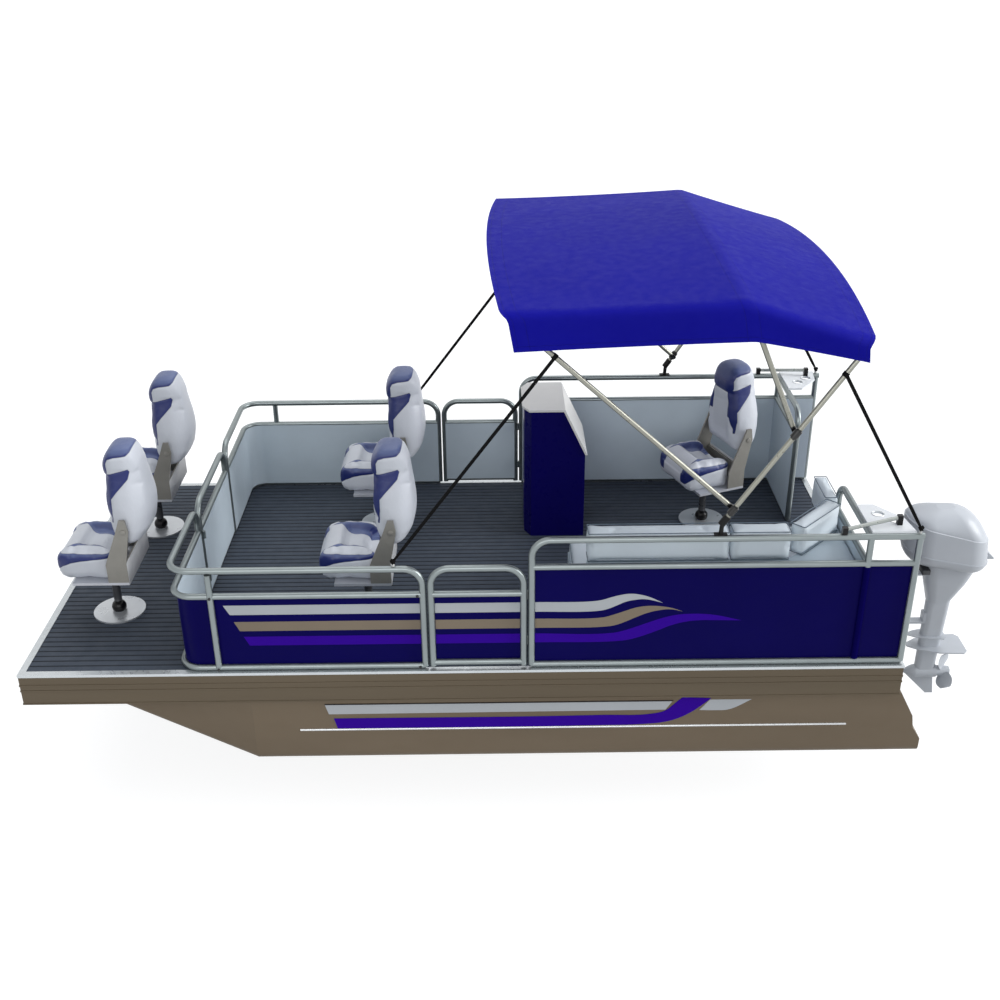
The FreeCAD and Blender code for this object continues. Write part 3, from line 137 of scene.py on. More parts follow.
light("overhead", "SUN", (1.2, 3.0, 7.0), (0, 0, 0), 1.0, angle=math.radians(60))
light("stern_key", "SUN", (7.0, -0.8, 2.7), (0, 0, 0), 2.6, angle=math.radians(35))
light("front_fill", "AREA", (-1.0, -9.0, 4.5), (0.4, 0, 0.6), 270, shape="RECTANGLE", size=9.0, size_y=4.0)


# Deck, skirt and trim
# The covering is ribbed woven vinyl glued to boards, the skirt is a bronze extrusion
# round them, and a bright angle strip covers their joint.

def srgb(red, green, blue):
    """Linear colour from screen values of 0 to 255."""
    return tuple(((v / 255 + 0.055) / 1.055) ** 2.4 if v > 10 else v / 255 / 12.92
                 for v in (red, green, blue)) + (1.0,)


class Finish:
    """A material being wired: its principled shader, and nodes added by kind."""

    def __init__(self, name, colour, roughness, metallic=0.0, coat=0.0, specular=0.5):
        self.material = bpy.data.materials.new(name)
        self.material.use_nodes = True
        self.material.diffuse_color = colour
        self.tree = self.material.node_tree
        self.shader = self.tree.nodes["Principled BSDF"]
        self.colour = colour
        self.roughness = roughness
        for socket, value in (("Base Color", colour), ("Roughness", roughness), ("Metallic", metallic),
                              ("Coat Weight", coat), ("Coat Roughness", 0.1),
                              ("Specular IOR Level", specular)):
            self.shader.inputs[socket].default_value = value

    def node(self, kind, sources=(), **settings):
        """Adds a node; sources are its inputs in order: sockets, values, or None to skip."""
        made = self.tree.nodes.new("ShaderNode" + kind)
        for key, value in settings.items():
            setattr(made, key, value)
        for socket, source in zip(made.inputs, sources):
            if isinstance(source, bpy.types.NodeSocket):
                self.tree.links.new(source, socket)
            elif source is not None:
                socket.default_value = source
        return made

    def maths(self, operation, *sources):
        return self.node("Math", sources, operation=operation).outputs[0]

    def place(self, kind="Object"):
        """A point of the surface in metres, its UV or its normal, as three sockets."""
        return self.node("SeparateXYZ", [self.node("TexCoord").outputs[kind]]).outputs

    def noise(self, scale, detail=2.0, stretch=None):
        coords = self.node("TexCoord").outputs["Object"]
        if stretch:
            mapping = self.node("Mapping", [coords])
            mapping.inputs["Scale"].default_value = stretch
            coords = mapping.outputs[0]
        made = self.node("TexNoise", [coords])
        made.inputs["Scale"].default_value = scale
        made.inputs["Detail"].default_value = detail
        return made.outputs["Fac"]

    def mix(self, share, first, second):
        """Colour from first to second; each is a socket or a colour."""
        made = self.node("Mix", data_type="RGBA")
        first_colour, second_colour = 6, 7
        for key, source in (("Factor", share), (first_colour, first), (second_colour, second)):
            socket = made.inputs[key]
            if isinstance(source, bpy.types.NodeSocket):
                self.tree.links.new(source, socket)
            else:
                socket.default_value = source
        return made.outputs[2]

    def most(self, value, *others):
        """The largest of some values."""
        for other in others:
            value = self.maths("MAXIMUM", value, other)
        return value

    def step(self, value, low, high, start=0.0, end=1.0):
        """Start below low, end above high, and a straight ramp from one to the other."""
        return self.node("MapRange", [value, low, high, start, end]).outputs[0]

    def between(self, value, low, high, edge):
        """One inside low to high and zero outside, over a soft edge."""
        return self.maths("MULTIPLY", self.step(value, low - edge, low + edge),
                          self.step(value, high - edge, high + edge, 1.0, 0.0))

    def near(self, middle_x, middle_z, reach, edge=0.0015):
        """One within reach of a point of the side view and zero outside."""
        x, y, z = self.place()
        away = (self.maths("SUBTRACT", x, middle_x), self.maths("SUBTRACT", z, middle_z))
        square = self.maths("ADD", *(self.maths("MULTIPLY", part, part) for part in away))
        return self.step(self.maths("SQRT", square), reach - edge, reach + edge, 1.0, 0.0)

    def feed(self, value, socket):
        """Wires a value to a socket of the shader."""
        self.tree.links.new(value, self.shader.inputs[socket])

    def paint(self, colour):
        self.feed(colour, "Base Color")
        self.colour = colour
        return self

    def mottle(self, scale, depth, detail=2.0, stretch=None):
        """Lightens and darkens the colour a little."""
        share = self.step(self.noise(scale, detail, stretch), 0.3, 0.7, 0.0, depth)
        return self.paint(self.mix(share, self.colour, (0.0, 0.0, 0.0, 1.0)))

    def wear(self, scale, spread, detail=3.0, stretch=None):
        """Varies the roughness."""
        value = self.step(self.noise(scale, detail, stretch), 0.3, 0.7,
                          max(0.02, self.roughness - spread), self.roughness + spread)
        self.feed(value, "Roughness")
        return self

    def relief(self, height, distance):
        """Adds a bump over any that is already there."""
        before = self.shader.inputs["Normal"].links
        bump = self.node("Bump")
        bump.inputs["Strength"].default_value = 1.0
        bump.inputs["Distance"].default_value = distance
        self.tree.links.new(height, bump.inputs["Height"])
        if before:
            self.tree.links.new(before[0].from_socket, bump.inputs["Normal"])
        self.feed(bump.outputs[0], "Normal")
        return self

    def grain(self, scale, distance, detail=2.0, stretch=None):
        """Adds fine unevenness."""
        return self.relief(self.noise(scale, detail, stretch), distance)


def dress(finish, *names):
    """Gives CAD nodes a finish."""
    for name in names:
        mesh = nodes[name].data
        mesh.materials.clear()
        mesh.materials.append(finish.material)


deck_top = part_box("deck")[1].z
groove_depth, rib_pitch = 0.0006, 0.0125
covering = Finish("deck_covering", srgb(67, 75, 87), 0.62, specular=0.2)
x, y, z = covering.place()
# Painted shade: the grooves between the ribs are painted darker, as shade would fall in them
groove = covering.between(z, 0.0, deck_top - groove_depth, 0.0005)
covering.paint(covering.mix(groove, covering.colour, srgb(34, 38, 44)))
rib = covering.maths("SINE", covering.maths("MULTIPLY", y, 2 * math.pi / rib_pitch))
covering.mottle(3.0, 0.12, detail=6.0).wear(12.0, 0.08)
covering.relief(rib, 0.0006).grain(420.0, 0.0004)
dress(covering, "deck")

skirt = Finish("skirt_paint", srgb(104, 93, 77), 0.42, metallic=0.2, specular=0.2)
skirt.mottle(2.0, 0.12, detail=5.0, stretch=(0.3, 1.0, 3.0)).wear(14.0, 0.08, stretch=(0.1, 1.0, 4.0))
skirt.grain(70.0, 0.00006)
dress(skirt, "deck_skirt")

trim = Finish("trim_metal", srgb(196, 201, 204), 0.30, metallic=0.8)
trim.mottle(6.0, 0.06).wear(30.0, 0.06).grain(60.0, 0.00003)
dress(trim, "deck_edge_trim")

mill = Finish("underframe_metal", srgb(168, 170, 172), 0.5, metallic=0.8)
mill.mottle(8.0, 0.2).wear(30.0, 0.12).grain(150.0, 0.0001)
dress(mill, "cross_members", "motor_pod")


# Pontoons and their stripes
# Each pontoon is satin taupe sheet with a bright spray rail riveted to its outer side.
# The stripes are cut from thin vinyl film and laid on that side. A thin dark film along the white stripe's
# top edge is a painted shadow line.

pontoon_paint = Finish("pontoon_paint", srgb(116, 103, 86), 0.45, metallic=0.15, specular=0.2)
pontoon_paint.mottle(1.6, 0.14, detail=5.0, stretch=(0.4, 1.0, 2.0)).wear(9.0, 0.08).grain(60.0, 0.00008)
dress(pontoon_paint, "pontoons")
rail_strip = Finish("rail_strip", srgb(208, 210, 212), 0.28, metallic=0.85)
rail_strip.mottle(12.0, 0.08).wear(40.0, 0.08).grain(60.0, 0.00003)
dress(rail_strip, "spray_rails")

film_thickness = 0.0012
film_white = Finish("film_white", srgb(184, 188, 192), 0.35, specular=0.15)
film_tan = Finish("film_tan", srgb(134, 122, 106), 0.38, specular=0.15)
film_purple = Finish("film_purple", srgb(55, 12, 154), 0.36, specular=0.03)
# The dark film is used only for a painted shadow line along the top of the white hull stripe
film_painted_shadow = Finish("film_painted_shadow", srgb(46, 42, 40), 0.38, specular=0.1)
for finish in (film_white, film_tan, film_purple, film_painted_shadow):
    finish.mottle(4.0, 0.06, detail=4.0).wear(18.0, 0.06).grain(50.0, 0.00004)


def add(name, mesh, finish, body="hull", crease=None):
    """Puts a piece in the scene; faces that meet at less than the crease angle are shaded smooth."""
    if isinstance(mesh, bmesh.types.BMesh):
        data = bpy.data.meshes.new(name)
        mesh.to_mesh(data)
        mesh.free()
        mesh = data
    if crease is not None:
        mesh.shade_smooth()
        mesh.set_sharp_from_angle(angle=math.radians(crease))
    piece = placed(name, mesh)
    mesh.materials.clear()
    mesh.materials.append(finish.material)
    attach(piece, body)
    return piece


def baked(piece):
    """The piece's mesh with its modifiers or bevel applied; the piece itself goes."""
    graph = bpy.context.evaluated_depsgraph_get()
    graph.update()
    mesh = bpy.data.meshes.new_from_object(piece.evaluated_get(graph))
    bpy.data.objects.remove(piece)
    return mesh


def close_up(shape, reach=0.00001):
    """Joins doubled points and turns the faces outwards."""
    bmesh.ops.remove_doubles(shape, verts=shape.verts, dist=reach)
    bmesh.ops.recalc_face_normals(shape, faces=shape.faces)


sides = {"port": -1, "starboard": 1}


def film(name, outline, corners, plane, finish, side_name, body="hull"):
    """A sticker drawn in X and Z and laid on the outer face of a sheet. Corners stay sharp."""
    curve = bpy.data.curves.new(name, "CURVE")
    curve.dimensions = "2D"
    curve.fill_mode = "BOTH"
    curve.extrude = film_thickness / 2
    curve.resolution_u = 10
    spline = curve.splines.new("BEZIER")
    spline.bezier_points.add(len(outline) - 1)
    spline.use_cyclic_u = True
    for count, (point, (x, z)) in enumerate(zip(spline.bezier_points, outline)):
        point.co = (x, z, 0)
        point.handle_left_type = point.handle_right_type = "VECTOR" if count in corners else "AUTO"
    flat = baked(placed(name, curve))
    side = sides[side_name]
    outer_plane = side * (plane + film_thickness / 2)
    flat.transform(Matrix(((1, 0, 0, 0), (0, 0, side, outer_plane), (0, 1, 0, 0), (0, 0, 0, 1))))
    shape = bmesh.new()
    shape.from_mesh(flat)
    close_up(shape)
    return add(name + "_" + side_name, shape, finish, body)


pontoon_side = 1.195
hull_white_front = [(-0.795, 0.176), (-0.776, 0.110), (1.178, 0.116), (1.218, 0.180)]
hull_white_rear = [(1.433, 0.184), (1.375, 0.110), (1.473, 0.108), (1.541, 0.112), (1.674, 0.183)]
# Painted shadow: a thin dark strip along the top edge of the white stripe stands in for the shadow gap there
hull_painted_shadow_line = [(-0.797, 0.184), (-0.795, 0.176), (1.218, 0.176), (1.221, 0.184)]
hull_purple = [(-0.749, 0.080), (-0.731, 0.008), (0.801, 0.011), (1.072, 0.017), (1.188, 0.032),
               (1.264, 0.059), (1.338, 0.105), (1.393, 0.152), (1.438, 0.195), (1.274, 0.203),
               (1.247, 0.178), (1.220, 0.149), (1.183, 0.114), (1.127, 0.093), (0.799, 0.083)]
every_corner = (0, 1, 2, 3)
# Each film: its outline, its sharp corners, how many films lie under it, its finish
hull_films = {"hull_stripe_white": (hull_white_front, every_corner, 0, film_white),
              "hull_painted_shadow_line": (hull_painted_shadow_line, every_corner, 1, film_painted_shadow),
              "hull_stripe_white_tip": (hull_white_rear, (0, 1, 4), 0, film_white),
              "hull_stripe_purple": (hull_purple, (0, 1, 8, 9), 1, film_purple)}
for side_name in sides:
    for name, (outline, corners, under, finish) in hull_films.items():
        plane = pontoon_side + under * film_thickness
        film(name, outline, corners, plane, finish, side_name)


# Fence, gates and panel stripes
# Bent bright tube carries painted sheet, navy outside and pale inside. Three bands of film
# run from the bow across the gate and end in waves on the aft panel.

tube_grey, panel_navy, panel_pale = srgb(136, 144, 145), srgb(14, 9, 82), srgb(200, 213, 222)
tube_metallic, tube_specular = 0.85, 0.5
bright_tube = Finish("bright_tube", tube_grey, 0.34, metallic=tube_metallic, specular=tube_specular)
aft_tube = Finish("aft_tube", tube_grey, 0.34, metallic=tube_metallic, specular=tube_specular)

# The aft post at the partition wears the panel's colour on its outer face under the mid rail
panel_side, partition_x = 1.175, 2.233
painted_reach, painted_low, painted_high = 0.023, 0.458, 1.060
x, y, z = aft_tube.place()
across_post = aft_tube.between(x, partition_x - painted_reach, partition_x + painted_reach, 0.001)
up_post = aft_tube.between(z, painted_low, painted_high, 0.001)
outer_side = aft_tube.step(aft_tube.maths("ABSOLUTE", y), panel_side - 0.001, panel_side + 0.0005)
post_face = aft_tube.maths("MULTIPLY", aft_tube.maths("MULTIPLY", across_post, up_post), outer_side)
for socket, bare in (("Metallic", tube_metallic), ("Specular IOR Level", tube_specular)):
    aft_tube.feed(aft_tube.step(post_face, 0.0, 1.0, bare, 0.0), socket)
aft_tube.paint(aft_tube.mix(post_face, aft_tube.colour, panel_navy))
for finish in (bright_tube, aft_tube):
    finish.mottle(5.0, 0.10).wear(22.0, 0.05).grain(60.0, 0.00003, stretch=(0.2, 1.0, 1.0))
dress(bright_tube, "fence_frames_forward", "gate_frame_port", "gate_frame_starboard", "gate_frame_bow")
dress(aft_tube, "fence_frames_aft")

sheet_paint = Finish("fence_sheet", panel_navy, 0.34, specular=0.03)
normal = sheet_paint.place("Normal")
x, y, z = sheet_paint.place()
outward = sheet_paint.maths("MULTIPLY", normal[1], sheet_paint.maths("SIGN", y))
foreward = sheet_paint.maths("MULTIPLY", normal[0], sheet_paint.maths("SIGN", x))
outside = sheet_paint.maths("GREATER_THAN", sheet_paint.maths("ADD", outward, foreward), 0.3)
sheet_paint.paint(sheet_paint.mix(outside, panel_pale, panel_navy))
sheet_paint.mottle(2.5, 0.10, detail=4.0).wear(16.0, 0.06).grain(40.0, 0.00005)
dress(sheet_paint, "fence_panels_forward", "fence_panels_aft", "gate_panel_port", "gate_panel_starboard",
      "gate_panel_bow")

forward_panel_end, gate_panel_start, gate_panel_end, aft_panel_start = -0.2225, -0.139, 0.334, 0.4175
# Each band: finish, heights of its edges, where they start, the wave at its end, the wave's tip
bands = {
    "white": (film_white, (0.784, 0.846), (-1.281, -1.314),
              [(0.782, 0.787), (0.830, 0.800), (0.879, 0.823), (0.927, 0.845), (0.975, 0.855), (1.024, 0.858),
               (1.073, 0.849), (1.127, 0.833), (1.064, 0.866), (1.006, 0.886), (0.941, 0.894), (0.893, 0.887),
               (0.844, 0.874), (0.796, 0.858), (0.747, 0.849)], 7),
    "tan": (film_tan, (0.677, 0.738), (-1.236, -1.264),
            [(0.834, 0.683), (0.883, 0.695), (0.932, 0.716), (0.980, 0.740), (1.044, 0.768), (1.109, 0.785),
             (1.174, 0.790), (1.240, 0.775), (1.190, 0.795), (1.140, 0.807), (1.075, 0.814), (1.010, 0.810),
             (0.961, 0.798), (0.913, 0.780), (0.848, 0.756), (0.800, 0.742)], 7),
    "purple": (film_purple, (0.580, 0.640), (-1.190, -1.219),
               [(0.920, 0.587), (0.986, 0.603), (1.051, 0.627), (1.116, 0.655), (1.180, 0.684),
                (1.261, 0.707), (1.343, 0.716), (1.425, 0.715), (1.573, 0.712), (1.514, 0.728),
                (1.456, 0.743), (1.373, 0.756), (1.291, 0.759), (1.209, 0.753), (1.128, 0.733),
                (1.047, 0.702), (0.983, 0.677), (0.918, 0.653), (0.852, 0.638)], 8),
}
for side_name in sides:
    for band, (finish, (low, high), (low_start, high_start), wave, tip) in bands.items():
        forward_part = [(low_start, low), (forward_panel_end, low),
                        (forward_panel_end, high), (high_start, high)]
        gate_part = [(gate_panel_start, low), (gate_panel_end, low),
                     (gate_panel_end, high), (gate_panel_start, high)]
        for name, outline, body in (("forward_stripe_", forward_part, "hull"),
                                    ("gate_stripe_", gate_part, "gate_" + side_name)):
            film(name + band, outline, every_corner, panel_side, finish, side_name, body)
        film("aft_stripe_" + band, [(aft_panel_start, low)] + wave + [(aft_panel_start, high)],
             (0, tip + 1, len(wave) + 1), panel_side, finish, side_name)

black_plastic = Finish("fitting_black", srgb(24, 24, 26), 0.42)
black_plastic.mottle(40.0, 0.3).wear(60.0, 0.1).grain(900.0, 0.00010)


def crosswise_disc(shape, place, radius, depth, segments):
    """A round head or shank whose axis runs across the boat."""
    turn = Matrix.Translation(place) @ Matrix.Rotation(math.pi / 2, 4, "X")
    bmesh.ops.create_cone(shape, cap_ends=True, segments=segments, radius1=radius, radius2=radius,
                          depth=depth, matrix=turn)


def ease_rims(shape, offset):
    """Rounds the sharp edges of discs."""
    rims = [edge for edge in shape.edges if edge.calc_face_angle(0) > 1.0]
    bmesh.ops.bevel(shape, geom=rims, offset=offset, segments=2, profile=0.5, affect="EDGES", material=-1)


def turned(shape, section, centre, axis, steps):
    """A closed section spun right round an axis."""
    corners = [shape.verts.new(corner) for corner in section]
    edges = [shape.edges.new(pair) for pair in zip(corners, corners[1:] + corners[:1])]
    bmesh.ops.spin(shape, geom=corners + edges, cent=centre, axis=axis, angle=2 * math.pi, steps=steps,
                   use_merge=True)


screw_radius, screw_reach = 0.0085, 0.006
# Each screw: distance along the boat, the face it sits on, height
screw_places = [(x, face, z) for x, face in ((-1.374, 1.211), (-0.232, 1.203)) for z in (0.911, 0.441)]
screws = bmesh.new()
for side in sides.values():
    for x, face, z in screw_places:
        crosswise_disc(screws, (x, side * (face + screw_reach / 2), z), screw_radius, screw_reach, 16)
ease_rims(screws, 0.002)
add("fence_screws", screws, black_plastic, crease=40)

plate_white = Finish("plate_white", srgb(232, 236, 240), 0.34, coat=0.15)
plate_white.mottle(6.0, 0.05).wear(25.0, 0.06).grain(80.0, 0.00004)
dress(plate_white, "corner_plates")
plate_corner_y, plate_length, plate_width = 1.185, 0.238, 0.317
hole_places = [(partition_x + plate_length * aft, plate_corner_y - plate_width * across)
               for aft, across in ((0.36, 0.64), (0.66, 0.40))]
# Across a rim: distance from the hole's middle, height
rim_section = [(0.0305, 1.2752), (0.0315, 1.2768), (0.0355, 1.2768), (0.0370, 1.2752)]
rims = bmesh.new()
for side in sides.values():
    for x, y in hole_places:
        section = [(x + out, side * y, height) for out, height in rim_section]
        turned(rims, section, (x, side * y, 0), (0, 0, 1), 48)
close_up(rims, 0.0001)
add("corner_hole_rims", rims, trim, crease=40)


# Console
# A navy gel-coated moulding stands on the deck. A cream cap lies over its top and its
# sloping dash, and overlaps it all round.

navy_gel = Finish("console_navy", srgb(14, 9, 84), 0.30, specular=0.06)
navy_gel.mottle(3.0, 0.12, detail=4.0).wear(20.0, 0.05).grain(40.0, 0.00005)
dress(navy_gel, "console_body")
cream_gel = Finish("console_cream", srgb(212, 212, 210), 0.40, coat=0.05)
cream_gel.mottle(4.0, 0.06, detail=4.0).wear(20.0, 0.06).grain(60.0, 0.00006)
dress(cream_gel, "console_cap")


# Lounge
# A white moulded base carries foam cushions and box backrests in pale vinyl, each sewn with
# a dark welt along its edges. The foam is inflated as cloth, from a shape a little too small.

moulding = Finish("lounge_moulding", srgb(178, 191, 201), 0.42, specular=0.3)
moulding.mottle(4.0, 0.06, detail=4.0).wear(20.0, 0.08).grain(380.0, 0.00012)
dress(moulding, "lounge_base")
pale_vinyl = Finish("lounge_vinyl", srgb(214, 224, 231), 0.50, specular=0.35)
pale_vinyl.mottle(5.0, 0.06, detail=5.0).wear(30.0, 0.08)
pale_vinyl.grain(90.0, 0.0006, detail=4.0).grain(650.0, 0.00018)
welt_vinyl = Finish("lounge_welt", srgb(96, 112, 126), 0.55)
welt_vinyl.mottle(30.0, 0.2).wear(40.0, 0.1).grain(900.0, 0.0001)


def islands(name):
    """The separate solids of a CAD node, each as a mesh being edited."""
    whole = bmesh.new()
    whole.from_mesh(nodes[name].data)
    bmesh.ops.remove_doubles(whole, verts=whole.verts, dist=0.00001)
    unseen = set(whole.verts)
    found = []
    while unseen:
        open_ends = [unseen.pop()]
        members = set(open_ends)
        while open_ends:
            vert = open_ends.pop()
            for edge in vert.link_edges:
                other = edge.other_vert(vert)
                if other not in members:
                    members.add(other)
                    open_ends.append(other)
        unseen -= members
        found.append(sorted(vert.index for vert in members))
    for members in sorted(found):
        kept = set(members)
        part = whole.copy()
        part.verts.ensure_lookup_table()
        bmesh.ops.delete(part, geom=[v for v in part.verts if v.index not in kept], context="VERTS")
        yield part
    whole.free()


def swell(shape, voxel, pressure, most, last_frame=20):
    """Evens out a closed shape and inflates it like stuffed cloth; no point moves more than most."""
    mesh = bpy.data.meshes.new("work")
    shape.to_mesh(mesh)
    shape.free()
    pad = placed("work", mesh)
    even = pad.modifiers.new("even", "REMESH")
    even.mode = "VOXEL"
    even.voxel_size = voxel
    mesh = baked(pad)
    before = [vert.co.copy() for vert in mesh.vertices]
    pad = placed("work", mesh)
    cloth = pad.modifiers.new("cloth", "CLOTH").settings
    cloth.quality = 5
    cloth.use_pressure = True
    cloth.uniform_pressure_force = pressure
    cloth.effector_weights.gravity = 0
    for number in range(1, last_frame + 1):
        bpy.context.scene.frame_set(number)
    mesh = baked(pad)
    bpy.context.scene.frame_set(1)
    for vert, start in zip(mesh.vertices, before):
        way = vert.co - start
        if way.length > most:
            vert.co = start + way.normalized() * most
    pad = placed("work", mesh)
    finer = pad.modifiers.new("finer", "SUBSURF")
    finer.levels = finer.render_levels = 1
    return baked(pad)


def welt(name, corners, radius=0.0026, bend=0.016):
    """A cord sewn in all round, along a few corners that are rounded over the bend."""
    curve = bpy.data.curves.new(name, "CURVE")
    curve.dimensions = "3D"
    curve.bevel_depth = radius
    curve.bevel_resolution = 2
    curve.resolution_u = 6
    route = []
    for count, corner in enumerate(corners):
        before, after = ((neighbour - corner).normalized() * bend
                         for neighbour in (corners[count - 1], corners[(count + 1) % len(corners)]))
        route += [corner + before, corner, corner + after]
    spline = curve.splines.new("NURBS")
    spline.points.add(len(route) - 1)
    for point, place in zip(spline.points, route):
        point.co = (*place, 1)
    spline.use_cyclic_u = True
    spline.order_u = 3
    shape = bmesh.new()
    shape.from_mesh(baked(placed(name, curve)))
    close_up(shape)
    add(name, shape, welt_vinyl, crease=50)


foam_inset, foam_voxel, foam_pressure, foam_most = 0.004, 0.012, 3.0, 0.007
for node_name, fill in (("lounge_cushions", 0.85), ("lounge_bolsters", 0.9)):
    for count, part in enumerate(islands(node_name)):
        part.normal_update()
        for vert in part.verts:
            vert.co -= vert.normal * foam_inset
        pad = add("%s_%d" % (node_name, count), swell(part, foam_voxel, foam_pressure, foam_most), pale_vinyl,
                  crease=180)
        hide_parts(node_name)

welt_inset, box_heights, cushion_heights = 0.0055, (1.200, 1.015), (0.865, None)
# Each welted form: its corners from above, the heights of its upper and its lower welt
welts = [([(0.710, -1.040), (1.507, -1.040), (1.507, -0.914), (0.710, -0.914)], box_heights),
         ([(1.513, -1.040), (1.844, -1.040), (1.844, -0.914), (1.513, -0.914)], box_heights),
         ([(2.120, -0.630), (2.205, -0.630), (2.205, -0.340), (2.120, -0.340)], box_heights),
         ([(1.850, -0.928), (2.133, -0.636), (2.202, -0.703), (1.919, -0.995)], box_heights),
         ([(0.643, -1.004), (1.504, -1.004), (1.504, -0.450), (0.643, -0.450)], cushion_heights),
         ([(1.510, -1.004), (1.844, -1.004), (1.844, -0.450), (1.510, -0.450)], cushion_heights)]
for count, (plan, (top, foot)) in enumerate(welts):
    middle = sum((Vector(point) for point in plan), Vector((0, 0))) / len(plan)
    for level, height in (("top", top - welt_inset), ("foot", foot and foot + welt_inset)):
        if height:
            corners = [Vector((x + math.copysign(welt_inset, middle.x - x),
                               y + math.copysign(welt_inset, middle.y - y), height)) for x, y in plan]
            welt("lounge_welt_%s_%d" % (level, count), corners)


# Seats
# Five folding fishing seats on ball-collared posts. Each is a foam cushion and a high back in
# white vinyl with navy patches, sewn along the patches' edges, between two painted metal ears.

seat_pan_high = deck_top + 0.3345
seat_metal = Finish("seat_metal", srgb(138, 136, 130), 0.45, metallic=0.45)
pan = seat_metal.step(seat_metal.place()[2], seat_pan_high - 0.0005, seat_pan_high + 0.0005, 1.0, 0.0)
seat_metal.paint(seat_metal.mix(pan, seat_metal.colour, srgb(196, 199, 206)))
seat_metal.mottle(12.0, 0.08).wear(40.0, 0.08).grain(80.0, 0.00006)
shroud_plastic = Finish("seat_shroud", srgb(206, 208, 210), 0.45)
shroud_plastic.mottle(12.0, 0.08).wear(40.0, 0.08).grain(90.0, 0.00008)
seat_vinyl = Finish("seat_vinyl", srgb(206, 210, 218), 0.42, specular=0.4)
patch_depth = seat_vinyl.node("Attribute", attribute_name="navy").outputs["Fac"]
# Painted sheen: the navy patches are painted paler where they face upwards, as if they caught light from the
# sky
upward = seat_vinyl.place("Normal")[2]
navy_with_painted_sheen = seat_vinyl.mix(seat_vinyl.step(upward, 0.25, 0.85), srgb(24, 37, 100), srgb(92, 105, 146))
seam_edge, seam_shade = 0.0008, (0.01, 0.012, 0.03, 1)
in_patch = seat_vinyl.step(patch_depth, -seam_edge, seam_edge)
seat_vinyl.paint(seat_vinyl.mix(in_patch, seat_vinyl.colour, navy_with_painted_sheen))
seam_line = seat_vinyl.between(patch_depth, -0.0022, 0.0012, seam_edge)
seat_vinyl.paint(seat_vinyl.mix(seat_vinyl.maths("MULTIPLY", seam_line, 0.35), seat_vinyl.colour, seam_shade))
seat_vinyl.mottle(5.0, 0.06, detail=5.0).wear(30.0, 0.08)
seat_vinyl.grain(70.0, 0.0009, detail=4.0).grain(650.0, 0.00018)

foot_plate_top, collar_top = deck_top + 0.011, deck_top + 0.079
pedestal_metal = Finish("pedestal_metal", srgb(206, 210, 214), 0.30, metallic=0.6)
z = pedestal_metal.place()[2]
above_plate = pedestal_metal.step(z, foot_plate_top - 0.0002, foot_plate_top + 0.0002)
post_part = pedestal_metal.step(z, collar_top - 0.0005, collar_top + 0.0005)
pedestal_metal.paint(pedestal_metal.mix(above_plate, pedestal_metal.colour, srgb(20, 20, 22)))
pedestal_metal.paint(pedestal_metal.mix(post_part, pedestal_metal.colour, srgb(92, 93, 96)))
pedestal_metal.mottle(9.0, 0.08).wear(12.0, 0.04).grain(30.0, 0.00003)
dress(pedestal_metal, "seat_pedestals")

# Each seat: its post's place on the deck, and how far it is turned
seat_places = {"bow_port": (-2.117, -0.535, 0), "bow_starboard": (-2.117, 0.535, 0),
               "mid_port": (-0.575, -0.575, 0), "mid_starboard": (-0.575, 0.575, 0),
               "helm": (1.638, 0.570, 22)}
# The cushion from the side, facing -X: distance from the post, height over the deck, half width
cushion_outline = [(0.066, 0.334, 0.196), (0.072, 0.500, 0.198), (0.045, 0.526, 0.198),
                   (-0.030, 0.538, 0.200), (-0.110, 0.542, 0.200), (-0.180, 0.538, 0.198),
                   (-0.230, 0.518, 0.194), (-0.256, 0.482, 0.190), (-0.261, 0.440, 0.187),
                   (-0.259, 0.396, 0.184), (-0.243, 0.356, 0.184), (-0.202, 0.334, 0.190)]
# The back in level sections: height over the deck, front, rear, half width
back_sections = [(0.562, 0.128, 0.240, 0.176), (0.580, 0.108, 0.262, 0.190), (0.640, 0.094, 0.292, 0.197),
                 (0.720, 0.088, 0.304, 0.198), (0.790, 0.082, 0.304, 0.192), (0.860, 0.082, 0.297, 0.178),
                 (0.930, 0.086, 0.288, 0.158), (0.975, 0.090, 0.283, 0.146), (0.990, 0.082, 0.282, 0.142),
                 (1.040, 0.080, 0.277, 0.136), (1.085, 0.088, 0.270, 0.128), (1.120, 0.104, 0.260, 0.112),
                 (1.142, 0.128, 0.242, 0.082), (1.150, 0.155, 0.215, 0.045)]
# The navy patches from the side: distance from the post, height
cushion_side_patch = [(0.12, 0.482), (0.12, 0.506), (0.0, 0.509), (-0.10, 0.512), (-0.20, 0.512),
                      (-0.30, 0.508), (-0.30, 0.37), (-0.266, 0.378), (-0.248, 0.410), (-0.220, 0.430),
                      (-0.170, 0.453), (-0.110, 0.467), (-0.030, 0.477)]
cap_patch = [(0.03, 0.972), (0.092, 0.970), (0.102, 1.000), (0.100, 1.052), (0.114, 1.078), (0.150, 1.090),
             (0.222, 1.097), (0.242, 1.112), (0.256, 1.140), (0.256, 1.20), (0.03, 1.20)]
wedge_patch = [(0.04, 0.972), (0.094, 0.984), (0.165, 1.004), (0.226, 1.018), (0.235, 1.004), (0.222, 0.962),
               (0.150, 0.888), (0.080, 0.806), (0.04, 0.79)]
# From above: distance from the post, distance from the middle
cushion_top_patch = [(-0.215, 0.142), (-0.150, 0.126), (-0.105, 0.084), (-0.060, 0.066), (0.000, 0.076),
                     (0.12, 0.082), (0.12, 0.146), (-0.05, 0.148), (-0.15, 0.149)]
# From the front: distance from the middle, height
front_patch = [(0.20, 0.972), (0.20, 0.860), (0.178, 0.812), (0.166, 0.770), (0.160, 0.700), (0.152, 0.696),
               (0.140, 0.740), (0.122, 0.800), (0.096, 0.890), (0.074, 0.972)]


